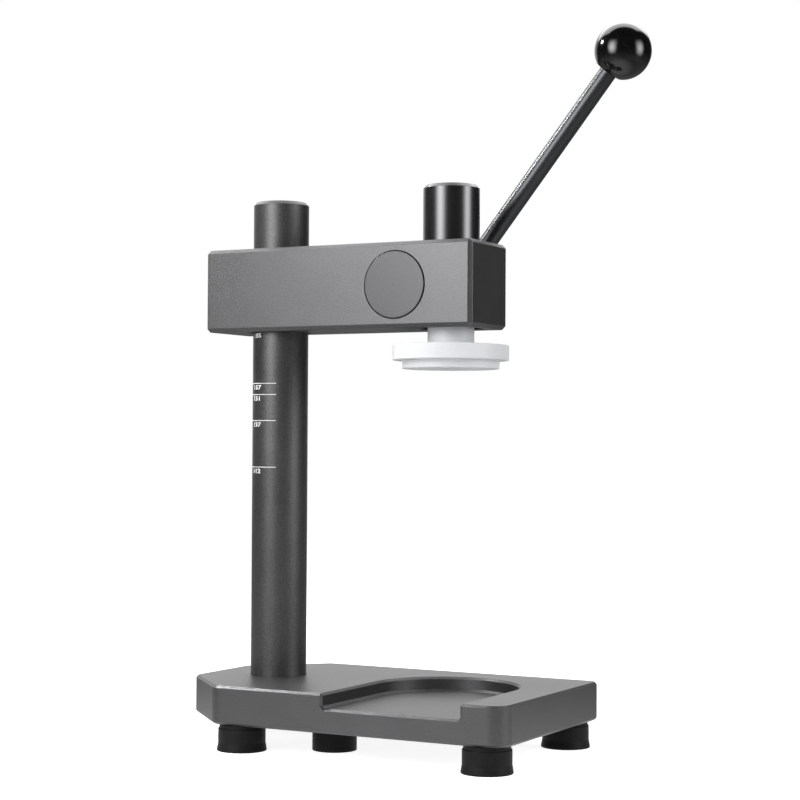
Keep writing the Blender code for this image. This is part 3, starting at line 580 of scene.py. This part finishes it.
def socket_screw(name, sizes, tip, place, pointing):
    """A socket-head screw, its place the seat under its head, pointing along its shank."""
    radius, head_radius, head_height = sizes
    ease = SCREW_EASE * head_radius
    point = SCREW_POINT * radius
    screw = turned(name, [(0, -head_height, 0), (head_radius, -head_height, ease),
                          (head_radius, 0, SCREW_SEAT_EASE * ease), (radius, 0, 0),
                          (radius, tip - point, 0), (radius - point, tip, 0), (0, tip, 0)],
                   place, pointing, 48, 3)
    depth = KEY_DEPTH * head_height
    offset = Matrix.Rotation(pointing[0], 3, "X") if pointing[0] else Matrix.Identity(3)
    start = Vector(place) + offset @ Vector((0, 0, -head_height - depth))
    cut_away(screw, milled("hex_key", hexagon(KEY_REACH * head_radius), 2 * depth, start, pointing))
    return screw


first_screw = None
for foot_name in foot_names:
    low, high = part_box(foot_name + "_screw")
    spot = foot_spots[foot_name]
    if first_screw is None:
        seat = low.z + FOOT_SCREW[2]
        first_screw = socket_screw(foot_name + "_screw_fine", FOOT_SCREW, high.z - seat, (*spot, seat), UP)
        first_spot = spot
        screw = first_screw
    else:
        screw = twin(first_screw, foot_name + "_screw_fine",
                     (spot[0] - first_spot[0], spot[1] - first_spot[1], 0.0))
    dressed(screw, zinc, foot_name + "_screw", "stand")

# ---------------------------------------------------------------------------
# Column: a 30 mm ground steel bar in black satin, faced and chamfered, seated
# in the plate and pulled down by one bolt and washer from below.
COLUMN_EDGE = 0.0018
COLUMN_FOOT_EDGE = 0.0003
COLUMN_TAP_DEPTH = 0.0223
COLUMN_WASHER = (0.0053, 0.010)
COLUMN_BOLT = (0.005, 0.008, 0.006)

satin_black = finish("satin_black_column", (0.050, 0.050, 0.051), (0.124, 0.124, 0.125), (0.36, 0.46),
                     0.72, cell=1700.0, bump=0.00009, patchiness=0.4, patch=40.0, specular=0.6)
column_radius = (column_high.x - column_low.x) / 2
column_length = column_high.z - column_low.z
column = turned("column_fine",
                [(0, COLUMN_TAP_DEPTH, 0), (COLUMN_BOLT_HOLE, COLUMN_TAP_DEPTH, 0),
                 (COLUMN_BOLT_HOLE, 0, 0), (column_radius - COLUMN_FOOT_EDGE, 0, 0),
                 (column_radius, COLUMN_FOOT_EDGE, 0),
                 (column_radius, column_length - COLUMN_EDGE, SMALL_EASE),
                 (column_radius - COLUMN_EDGE, column_length, SMALL_EASE), (0, column_length, 0)],
                (column_x, 0, column_low.z), steps=128)
dressed(column, satin_black, "column", "stand")


def washer(node, bore, rim, thick, place, pointing, body):
    """A flat zinc-plated washer with eased edges."""
    ring = turned(node + "_fine", [(bore, 0, SHARP_EASE), (rim, 0, SOFT_EASE), (rim, thick, SOFT_EASE),
                                   (bore, thick, SHARP_EASE)], place, pointing, 64)
    dressed(ring, zinc, node, body)


low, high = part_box("column_washer")
washer("column_washer", *COLUMN_WASHER, high.z - low.z, (column_x, 0, low.z), UP, "stand")
low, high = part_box("column_bolt")
seat = low.z + COLUMN_BOLT[2]
bolt = socket_screw("column_bolt_fine", COLUMN_BOLT, high.z - seat, (column_x, 0, seat), UP)
dressed(bolt, zinc, "column_bolt", "stand")

# Height scale: white ink lines and their heights over the plate in millimetres,
# printed round the front of the column, and bent to it.
SCALE_HEIGHTS_MM = (185, 157, 151, 137, 112)
INK_THICKNESS = 0.00004
INK_LINE = 0.00035
INK_LINE_ARC = (-142.0, -67.0)
INK_TEXT_START = -130.5
INK_TEXT_SIZE = 0.0033
INK_TEXT_STRETCH = 1.5
INK_TEXT_WEIGHT = 0.00007
INK_TEXT_DROP = 0.0009
INK_TEXT_STRIP = 0.0004
INK_TEXT_LONGEST = 0.014

ink = finish("white_ink", (0.62, 0.62, 0.61), (0.80, 0.80, 0.79), (0.45, 0.60), 0.0,
             cell=3500.0, bump=0.00001, patchiness=0.6, patch=400.0)


def ink_line(height):
    """One line of the scale: a thin band of ink over part of the column's round."""
    inner, outer = column_radius - INK_THICKNESS, column_radius + INK_THICKNESS
    band = [(inner, 0.0, height), (outer, 0.0, height), (outer, 0.0, height + INK_LINE),
            (inner, 0.0, height + INK_LINE), (inner, 0.0, height)]
    line = draw_line("ink_line", band)
    sweep = math.radians(INK_LINE_ARC[1] - INK_LINE_ARC[0])
    bpy.ops.mesh.spin(steps=36, angle=sweep, center=(0, 0, 0), axis=(0, 0, 1))
    bpy.ops.mesh.select_all(action="SELECT")
    bpy.ops.mesh.fill_holes(sides=0)
    set_down(line, (0, 0, 0), UP)
    return line


def bent_text(body, height):
    """A printed height, cut into narrow strips so that it bends round the column."""
    bpy.ops.object.select_all(action="DESELECT")
    bpy.ops.object.text_add(location=(0, 0, 0))
    words = bpy.context.object
    words.data.body = body
    words.data.size = INK_TEXT_SIZE
    words.data.extrude = INK_THICKNESS
    words.data.offset = INK_TEXT_WEIGHT
    words.data.resolution_u = 3
    bpy.ops.object.convert(target="MESH")
    words = bpy.context.object
    bpy.ops.object.mode_set(mode="EDIT")
    bpy.ops.mesh.select_all(action="SELECT")
    bpy.ops.mesh.remove_doubles(threshold=ONE_POINT_AFTER_CUT)
    cut = 0.0
    while cut < INK_TEXT_LONGEST:
        cut += INK_TEXT_STRIP
        bpy.ops.mesh.select_all(action="SELECT")
        bpy.ops.mesh.bisect(plane_co=(cut, 0, 0), plane_no=(1, 0, 0))
    bpy.ops.object.mode_set(mode="OBJECT")
    top = max(vertex.co.y for vertex in words.data.vertices)
    for vertex in words.data.vertices:
        x, y, z = vertex.co
        around = math.radians(INK_TEXT_START) + INK_TEXT_STRETCH * x / column_radius
        reach = column_radius + z
        vertex.co = (reach * math.cos(around), reach * math.sin(around), height - INK_TEXT_DROP + y - top)
    return words


marks = []
for mark in SCALE_HEIGHTS_MM:
    height = plate_high.z + mark / 1000
    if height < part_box("arm_block")[0].z:
        line = ink_line(height - INK_LINE / 2)
        pick(line)
        line.rotation_euler = (0, 0, math.radians(INK_LINE_ARC[1]))
        bpy.ops.object.transform_apply(location=True, rotation=True, scale=True)
        marks.append(line)
    marks.append(bent_text(str(mark), height))
pick(marks[0])
for mark in marks:
    mark.select_set(True)
bpy.ops.object.join()
scale = bpy.context.object
scale.name = scale.data.name = "column_scale"
scale.location = (column_x, 0, 0)
bpy.ops.object.transform_apply(location=True, rotation=True, scale=True)
scale.data.materials.clear()
scale.data.materials.append(ink)
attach(scale, "stand")

# ---------------------------------------------------------------------------
# Column bushes: two thin liners of dark nylon in the arm, which slide and turn
# on the column.
dark_nylon = finish("dark_nylon", (0.016, 0.016, 0.017), (0.034, 0.034, 0.035), (0.42, 0.55), 0.0,
                    cell=1200.0, bump=0.00001, patchiness=0.3, patch=150.0)
BUSH_EASE = 0.00025
COLUMN_BUSH = (0.0153, 0.0165)


def bush(node, inner, outer, finish_used, body, slot, lengthwise="z"):
    """A plain bush, turned to the place that its solid has."""
    low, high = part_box(node)
    middle = (low + high) / 2
    if lengthwise == "z":
        length, place, pointing = high.z - low.z, (middle.x, middle.y, low.z), UP
    else:
        length, place, pointing = high.y - low.y, (middle.x, low.y, middle.z), REAR
    ring = turned(node + "_fine", [(inner, 0, BUSH_EASE), (outer, 0, BUSH_EASE),
                                   (outer, length, BUSH_EASE), (inner, length, BUSH_EASE)],
                  place, pointing, 96, 3)
    dressed(ring, finish_used, node, body)


bush("column_bush_lower", *COLUMN_BUSH, dark_nylon, "sleeve", "dark_nylon")
bush("column_bush_upper", *COLUMN_BUSH, dark_nylon, "sleeve", "dark_nylon")

# ---------------------------------------------------------------------------
# Arm: one bar of aluminium, bored for the column, the ram and the pinion shaft,
# chamfered all round, blasted and anodised dark grey like the base.
ARM_EDGE = 0.0020
ARM_SOFTENING = 0.00018
BORE_MOUTH = 0.0004
BORE_SPARE = 0.002
COLUMN_BORE = 0.0168
RAM_BORE = 0.01685
CROSS_BORE = 0.0112
FLANGE_POCKET = (0.0177, 0.0043, 0.00015)
CLAMP_BORE = 0.0043
RAM_BUSH = (0.01505, 0.01655)
PINION_BUSH = (0.0073, 0.0109)

arm_low, arm_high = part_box("arm_block")
ram_low, ram_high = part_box("ram")
shaft_low, shaft_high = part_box("pinion_shaft")
ram_x = (ram_low.x + ram_high.x) / 2
hub_low, hub_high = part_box("lever_hub")
pinion_x = (hub_low.x + hub_high.x) / 2
pinion_z = (hub_low.z + hub_high.z) / 2
arm_depth = arm_high.y - arm_low.y
arm_height = arm_high.z - arm_low.z


def bored(piece, radius, length, place, pointing=UP, blind=False, pocket=None):
    """Bore a hole, and any wider pocket at its start, with a broken mouth at each open end."""
    spare, mouth = BORE_SPARE, BORE_MOUTH
    if pocket:
        wide, depth, lip = pocket
        shape = [(0, -spare, 0), (wide + lip + spare, -spare, 0), (wide, lip, 0), (wide, depth, 0),
                 (radius, depth, 0)]
    else:
        shape = [(0, -spare, 0), (radius + mouth + spare, -spare, 0), (radius, mouth, 0)]
    if blind:
        shape += [(radius, length, 0), (0, length, 0)]
    else:
        shape += [(radius, length - mouth, 0), (radius + mouth + spare, length + spare, 0),
                  (0, length + spare, 0)]
    cut_away(piece, turned("boring_bar", shape, place, pointing, 128, 1))


outline = [(arm_low.x, arm_low.y), (arm_high.x, arm_low.y),
           (arm_high.x, arm_high.y), (arm_low.x, arm_high.y)]
arm = milled("arm_block_fine", outline, arm_height, (0, 0, arm_low.z))
break_edges(arm, ARM_EDGE)
break_edges(arm, ARM_SOFTENING, 2, 25)
bored(arm, COLUMN_BORE, arm_height, (column_x, 0, arm_low.z))
bored(arm, RAM_BORE, arm_height, (ram_x, 0, arm_low.z))
bored(arm, CROSS_BORE, arm_depth, (pinion_x, arm_low.y, pinion_z), REAR, pocket=FLANGE_POCKET)
bored(arm, CLAMP_BORE, arm_high.y, (column_x, arm_high.y, pinion_z), FRONT, blind=True)
dressed(arm, anodised, "arm_block", "arm")

bush("ram_bush_lower", *RAM_BUSH, dark_nylon, "arm", "dark_nylon")
bush("ram_bush_upper", *RAM_BUSH, dark_nylon, "arm", "dark_nylon")
bronze = finish("turned_bronze", (0.36, 0.20, 0.085), (0.52, 0.33, 0.15), (0.30, 0.42), 1.0,
                cell=900.0, bump=0.00001, rings=0.6, centre=(pinion_x, 0, pinion_z), lay=FRONT,
                pitch=1800.0)
bush("pinion_bush_front", *PINION_BUSH, bronze, "arm", "bronze", "y")
bush("pinion_bush_rear", *PINION_BUSH, bronze, "arm", "bronze", "y")

# ---------------------------------------------------------------------------
# Pinion shaft: one turned steel piece, its flat flange flush in the arm's front
# face, with twelve teeth cut on it and a groove behind for its retaining ring.
FLANGE_RADIUS = 0.0174
FLANGE_EASE = 0.0005
FLANGE_GAP = 0.0003
SHAFT_RADIUS = 0.007
RING_GROOVE = (0.0064, 0.0218, 0.0234)
SHAFT_HOLE = (0.0028, 0.012)
CENTRE_MARK = 0.0003
MODULE = 0.0015
TEETH = 12
FLANK_ANGLE = math.radians(20)
BACKLASH = 0.0003
PINION_HEIGHT_OVER_PITCH = 0.0013
TOOTH_DEPTH = 0.00187
PINION_WIDTH = 0.015
PITCH_RADIUS = MODULE * TEETH / 2

turned_steel = finish("turned_dark_steel", (0.064, 0.064, 0.066), (0.086, 0.086, 0.088), (0.34, 0.42), 0.9,
                      cell=1900.0, bump=0.00002, patchiness=0.2, patch=60.0, rings=0.55,
                      centre=(pinion_x, 0, pinion_z), lay=FRONT, pitch=900.0)
flange_back = arm_low.y + FLANGE_POCKET[1] - FLANGE_GAP
shaft = turned("pinion_shaft_fine",
               [(0, shaft_low.y + CENTRE_MARK, 0), (CENTRE_MARK, shaft_low.y, SMALL_EASE),
                (FLANGE_RADIUS, shaft_low.y, FLANGE_EASE), (FLANGE_RADIUS, flange_back, 0),
                (SHAFT_RADIUS, flange_back, 0), (SHAFT_RADIUS, RING_GROOVE[1], 0),
                (RING_GROOVE[0], RING_GROOVE[1], 0), (RING_GROOVE[0], RING_GROOVE[2], 0),
                (SHAFT_RADIUS, RING_GROOVE[2], 0), (SHAFT_RADIUS, shaft_high.y, SOFT_EASE),
                (SHAFT_HOLE[0], shaft_high.y, 0), (SHAFT_HOLE[0], shaft_high.y - SHAFT_HOLE[1], 0),
                (0, shaft_high.y - SHAFT_HOLE[1], 0)],
               (pinion_x, 0, pinion_z), REAR, 128)
base_circle = PITCH_RADIUS * math.cos(FLANK_ANGLE)
tip_circle = PITCH_RADIUS + PINION_HEIGHT_OVER_PITCH
half_tooth = (math.pi * MODULE / 2 - BACKLASH) / (2 * PITCH_RADIUS) + math.tan(FLANK_ANGLE) - FLANK_ANGLE
flank = [(PITCH_RADIUS - TOOTH_DEPTH, half_tooth)]
for step in range(9):
    reach = base_circle + (tip_circle - base_circle) * step / 8
    pressure = math.acos(base_circle / reach)
    flank.append((reach, half_tooth - math.tan(pressure) + pressure))
outline = []
for tooth in range(TEETH):
    middle = tooth * math.tau / TEETH
    for reach, half in [(r, -h) for r, h in flank] + [(r, h) for r, h in reversed(flank)]:
        outline.append((reach * math.cos(middle + half), reach * math.sin(middle + half)))
teeth = milled("pinion_teeth", outline, PINION_WIDTH, (pinion_x, PINION_WIDTH / 2, pinion_z), FRONT)
cut_away(shaft, teeth, operation="UNION")
dressed(shaft, turned_steel, "pinion_shaft", "lever")

# Retaining ring: an open spring ring that snaps into the shaft's groove.
RETAINER_RADII = (0.0067, 0.0100)
RETAINER_OPENING = math.radians(25)
RETAINER_EASE = 0.00012

low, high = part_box("retaining_ring")
far_side = math.tau - RETAINER_OPENING
outline = rim_arc((0, 0), RETAINER_RADII[1], RETAINER_OPENING, far_side, 64)
outline += rim_arc((0, 0), RETAINER_RADII[0], far_side, RETAINER_OPENING, 64)
clip = milled("retaining_ring_fine", outline, high.y - low.y, (pinion_x, low.y, pinion_z), REAR)
break_edges(clip, RETAINER_EASE, 2)
dressed(clip, zinc, "retaining_ring", "lever")

# ---------------------------------------------------------------------------
# Lever hub: a black steel collar on the shaft's tail, with a cross hole for the
# lever rod and a grub screw, held on by a washer and an end screw.
HUB_RADIUS = 0.013
HUB_BORE = 0.0073
HUB_EDGE = 0.00065
ROD_HOLE = 0.0051
GRUB_HOLE = 0.0028
GRUB = (0.0025, 0.0054)
GRUB_REACH = 0.0073
GRUB_POINT = 0.0004
GRUB_KEY = (0.0013, 0.002)
HUB_WASHER = (0.0028, 0.009)
HUB_SCREW = (0.0025, 0.0047, 0.0028)
LEVER_ANGLE = math.radians(51.2)
ALONG_LEVER = (0.0, math.pi / 2 - LEVER_ANGLE, 0.0)
AGAINST_LEVER = (0.0, -math.pi / 2 - LEVER_ANGLE, 0.0)
lever_way = Vector((math.cos(LEVER_ANGLE), 0.0, math.sin(LEVER_ANGLE)))
ball_low, ball_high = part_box("ball_knob")
lever_y = (ball_low.y + ball_high.y) / 2
pivot = Vector((pinion_x, lever_y, pinion_z))

black_oxide = finish("black_oxide", (0.010, 0.010, 0.011), (0.026, 0.026, 0.027), (0.26, 0.40), 0.4,
                     cell=1500.0, bump=0.00001, patchiness=0.6, patch=120.0, specular=0.6)
hub_length = hub_high.y - hub_low.y
hub = turned("lever_hub_fine", [(HUB_BORE, 0, SOFT_EASE), (HUB_RADIUS, 0, HUB_EDGE),
                                (HUB_RADIUS, hub_length, HUB_EDGE), (HUB_BORE, hub_length, SOFT_EASE)],
             (pinion_x, hub_low.y, pinion_z), REAR, 128)
drilled(hub, ROD_HOLE, 2 * HUB_RADIUS, pivot[:], ALONG_LEVER)
drilled(hub, GRUB_HOLE, 2 * HUB_RADIUS, pivot[:], AGAINST_LEVER, 48)
dressed(hub, black_oxide, "lever_hub", "lever")

grub = turned("hub_grub_screw_fine",
              [(0, 0, 0), (GRUB[0] - GRUB_POINT, 0, 0), (GRUB[0], GRUB_POINT, 0), (*GRUB, SMALL_EASE),
               (0, GRUB[1], 0)], (pivot - lever_way * GRUB_REACH)[:], AGAINST_LEVER, 48, 2)
seat = pivot - lever_way * (GRUB_REACH + GRUB[1] - GRUB_KEY[1])
cut_away(grub, milled("grub_key", hexagon(GRUB_KEY[0]), 2 * GRUB_KEY[1], seat[:], AGAINST_LEVER))
dressed(grub, zinc, "hub_grub_screw", "lever")

low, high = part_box("hub_washer")
washer("hub_washer", *HUB_WASHER, high.y - low.y, (pinion_x, low.y, pinion_z), REAR, "lever")
low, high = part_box("hub_screw")
seat = high.y - HUB_SCREW[2]
end_screw = socket_screw("hub_screw_fine", HUB_SCREW, seat - low.y, (pinion_x, seat, pinion_z), FRONT)
dressed(end_screw, zinc, "hub_screw", "lever")

# ---------------------------------------------------------------------------
# Lever: a round steel rod in gloss black, screwed into the hub, with a moulded
# ball of black phenolic on its end.
ROD_RADIUS = 0.0048
ROD_START = 0.0076
ROD_END = 0.1602
ROD_EASE = 0.00048
ROD_RINGS = 16
LEVER_LENGTH = 0.1585
BALL_RADIUS = 0.015
BALL_FLAT = 0.0075
BALL_SOCKET = (0.0051, 0.017)

gloss_black = finish("gloss_black_rod", (0.056, 0.058, 0.061), (0.068, 0.070, 0.073), (0.33, 0.37), 0.85,
                     cell=5000.0, bump=0.0, patchiness=0.3, patch=90.0, specular=0.5)
phenolic = finish("black_phenolic", (0.0022, 0.0022, 0.0024), (0.005, 0.005, 0.0052), (0.07, 0.13), 0.0,
                  cell=300.0, bump=0.0000012, patchiness=0.5, patch=120.0, specular=0.5, coat=0.12,
                  coat_rough=0.04)
rod_length = ROD_END - ROD_START
rod_side = [(ROD_RADIUS, rod_length * step / ROD_RINGS, 0) for step in range(1, ROD_RINGS)]
rod = turned("lever_rod_fine", [(0, 0, 0), (ROD_RADIUS, 0, ROD_EASE), *rod_side,
                                (ROD_RADIUS, rod_length, ROD_EASE), (0, rod_length, 0)],
             (pivot + lever_way * ROD_START)[:], ALONG_LEVER, 96)
dressed(rod, gloss_black, "lever_rod", "lever")

flat_z = -math.sqrt(BALL_RADIUS ** 2 - BALL_FLAT ** 2)
round_points = rim_arc((0, 0), BALL_RADIUS, math.asin(flat_z / BALL_RADIUS), math.pi / 2, 56)[:-1]
floor_z = BALL_SOCKET[1] - BALL_RADIUS
ball_corners = [(0, floor_z, 0), (BALL_SOCKET[0], floor_z, 0), (BALL_SOCKET[0], flat_z, SMALL_EASE)]
ball_corners += [(x, z, 0) for x, z in round_points] + [(0, BALL_RADIUS, 0)]
ball = turned("ball_knob_fine", ball_corners, (pivot + lever_way * LEVER_LENGTH)[:], ALONG_LEVER, 128)
dressed(ball, phenolic, "ball_knob", "lever")

# ---------------------------------------------------------------------------
# Ram: a ground steel bar in gloss black that slides down through the arm, with
# a rack cut into its inner side for the pinion.
RAM_RADIUS = 0.01475
RAM_EASE = 0.0018
RAM_TAP = (0.0043, 0.0143)
RAM_UP = 0.008
RAM_DOWN = 0.014
RACK_SINK = 0.00175
RACK_PITCH_OFFSET = RAM_RADIUS - RACK_SINK
RACK_ADDENDUM = 0.0010
RACK_MARGIN = 0.0005

ram_finish = finish("gloss_black_ram", (0.082, 0.082, 0.084), (0.102, 0.102, 0.104), (0.24, 0.27), 0.92,
                    cell=4500.0, bump=0.0000003, patchiness=0.3, patch=60.0, specular=0.5,
                    rings=0.3, centre=(ram_x, 0, 0), pitch=6000.0, along=1.0)
ram_length = ram_high.z - ram_low.z
ram = turned("ram_fine", [(0, RAM_TAP[1], 0), (RAM_TAP[0], RAM_TAP[1], 0), (RAM_TAP[0], 0, 0),
                          (RAM_RADIUS - RAM_EASE / 2, 0, 0), (RAM_RADIUS, RAM_EASE / 2, 0),
                          (RAM_RADIUS, ram_length - RAM_EASE, SOFT_EASE),
                          (RAM_RADIUS - RAM_EASE, ram_length, SOFT_EASE), (0, ram_length, 0)],
             (ram_x, 0, ram_low.z), steps=128)
pitch = math.pi * MODULE
tip_x = -(RACK_PITCH_OFFSET + RACK_ADDENDUM)
root_x = -(RACK_PITCH_OFFSET - TOOTH_DEPTH)
side = pinion_x - ram_x + RAM_RADIUS
run_out = math.sqrt(tip_circle ** 2 - side ** 2) + RACK_MARGIN
half_gap = pitch / 4 + BACKLASH / 2
mouth = half_gap + RACK_ADDENDUM * math.tan(FLANK_ANGLE)
root = half_gap - TOOTH_DEPTH * math.tan(FLANK_ANGLE)
first = math.ceil((-RAM_UP - run_out - mouth) / pitch)
last = math.floor((RAM_DOWN + run_out + mouth) / pitch)
rack_low = min(-RAM_UP - run_out, first * pitch - mouth - RACK_MARGIN)
rack_high = max(RAM_DOWN + run_out, last * pitch + mouth + RACK_MARGIN)
outline = [(-2 * RAM_RADIUS, rack_low), (tip_x, rack_low)]
for gap in range(first, last + 1):
    middle = gap * pitch
    outline += [(tip_x, middle - mouth), (root_x, middle - root), (root_x, middle + root),
                (tip_x, middle + mouth)]
outline += [(tip_x, rack_high), (-2 * RAM_RADIUS, rack_high)]
rack = milled("rack_cutter", outline, 4 * RAM_RADIUS, (ram_x, 2 * RAM_RADIUS, pinion_z), FRONT)
cut_away(ram, rack)
dressed(ram, ram_finish, "ram", "ram")

# Press head: a turned white nylon head on the ram's end, in three steps, with
# a counterbore for the socket screw that pulls it up to the ram.
head_low, head_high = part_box("press_head")
HEAD_NECK = 0.01215
HEAD_DISC = 0.03025
HEAD_NOSE = (0.02525, 0.0044)
HEAD_DISC_TOP = 0.0124
HEAD_EASE = 0.0006
HEAD_SINK = (0.0068, 0.0090)
HEAD_HOLE = 0.0043
HEAD_SCREW = (0.004, 0.0065, 0.008)

white_nylon = finish("white_nylon", (0.595, 0.605, 0.625), (0.660, 0.670, 0.685), (0.38, 0.50), 0.0,
                     cell=700.0, bump=0.00001, patchiness=0.2, patch=50.0, rings=0.5,
                     centre=(ram_x, 0, 0), pitch=1400.0, along=1.0)
head_length = head_high.z - head_low.z
head = turned("press_head_fine",
              [(HEAD_SINK[0], 0, SOFT_EASE), (HEAD_NOSE[0], 0, HEAD_EASE), (*HEAD_NOSE, SMALL_EASE),
               (HEAD_DISC, HEAD_NOSE[1], HEAD_EASE), (HEAD_DISC, HEAD_DISC_TOP, HEAD_EASE),
               (HEAD_NECK, HEAD_DISC_TOP, SOFT_EASE), (HEAD_NECK, head_length, SMALL_EASE),
               (HEAD_HOLE, head_length, 0), (HEAD_HOLE, HEAD_SINK[1], 0), (*HEAD_SINK, 0)],
              (ram_x, 0, head_low.z), steps=144)
dressed(head, white_nylon, "press_head", "ram")

low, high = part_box("press_head_screw")
seat = low.z + HEAD_SCREW[2]
head_screw = socket_screw("press_head_screw_fine", HEAD_SCREW, high.z - seat, (ram_x, 0, seat), UP)
dressed(head_screw, zinc, "press_head_screw", "ram")

# ---------------------------------------------------------------------------
# Rear clamp: a brass pad against the column, pushed by a threaded stud with a
# lobed knob of black phenolic.
CLAMP_RADIUS = 0.004
STUD_PITCH = 0.00125
STUD_THREAD = 0.00022
STUD_FLANK = 0.0003
STUD_POINT = 0.0006
STUD_CAP = 0.0004
KNOB_RADIUS = 0.014
KNOB_LOBES = 8
KNOB_FLUTE = 0.0016
KNOB_SIDES = 144
KNOB_SOCKET = (0.0043, 0.009)
KNOB_SPARE = 0.002
KNOB_DISH = (0.0088, 0.0096, 0.0006)

brass = finish("turned_brass", (0.50, 0.34, 0.11), (0.66, 0.48, 0.20), (0.28, 0.40), 1.0,
               cell=900.0, bump=0.00001, rings=0.6, centre=(column_x, 0, pinion_z), lay=FRONT,
               pitch=1500.0)
low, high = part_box("clamp_pad")
thick = high.y - low.y
pad = turned("clamp_pad_fine", [(0, 0, 0), (CLAMP_RADIUS, 0, SOFT_EASE), (CLAMP_RADIUS, thick, SOFT_EASE),
                                (0, thick, 0)], (column_x, low.y, pinion_z), REAR, 64)
dressed(pad, brass, "clamp_pad", "clamp_pad")

low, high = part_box("clamp_stud")
stud_length = high.y - low.y
stud_corners = [(0, 0, 0), (CLAMP_RADIUS - STUD_POINT, 0, SMALL_EASE), (CLAMP_RADIUS, STUD_POINT, 0)]
groove = 2 * STUD_POINT
while groove + STUD_PITCH < stud_length - STUD_POINT:
    stud_corners += [(CLAMP_RADIUS, groove, 0), (CLAMP_RADIUS - STUD_THREAD, groove + STUD_FLANK, 0),
                     (CLAMP_RADIUS, groove + 2 * STUD_FLANK, 0)]
    groove += STUD_PITCH
stud_corners += [(CLAMP_RADIUS, stud_length - STUD_CAP, 0), (CLAMP_RADIUS - STUD_CAP, stud_length, 0),
                 (0, stud_length, 0)]
stud = turned("clamp_stud_fine", stud_corners, (column_x, low.y, pinion_z), REAR, 64)
dressed(stud, zinc, "clamp_stud", "clamp_knob")

low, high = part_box("clamp_knob")
outline = []
for step in range(KNOB_SIDES):
    around = step * math.tau / KNOB_SIDES
    reach = KNOB_RADIUS - KNOB_FLUTE * math.sin(KNOB_LOBES * around / 2) ** 2
    outline.append((reach * math.cos(around), reach * math.sin(around)))
knob = milled("clamp_knob_fine", outline, high.y - low.y, (column_x, low.y, pinion_z), REAR)
break_edges(knob, KNOB_FLUTE / 2, 4, 60)
floor_radius, rim_radius, sunk = KNOB_DISH
dish = turned("knob_dish", [(0, -sunk, 0), (floor_radius, -sunk, SOFT_EASE), (rim_radius, KNOB_SPARE, 0),
                            (0, KNOB_SPARE, 0)], (column_x, high.y, pinion_z), REAR, 96)
cut_away(knob, dish)
drilled(knob, KNOB_SOCKET[0], KNOB_SOCKET[1] + KNOB_SPARE,
        (column_x, low.y + KNOB_SOCKET[1], pinion_z), FRONT)
dressed(knob, phenolic, "clamp_knob", "clamp_knob")
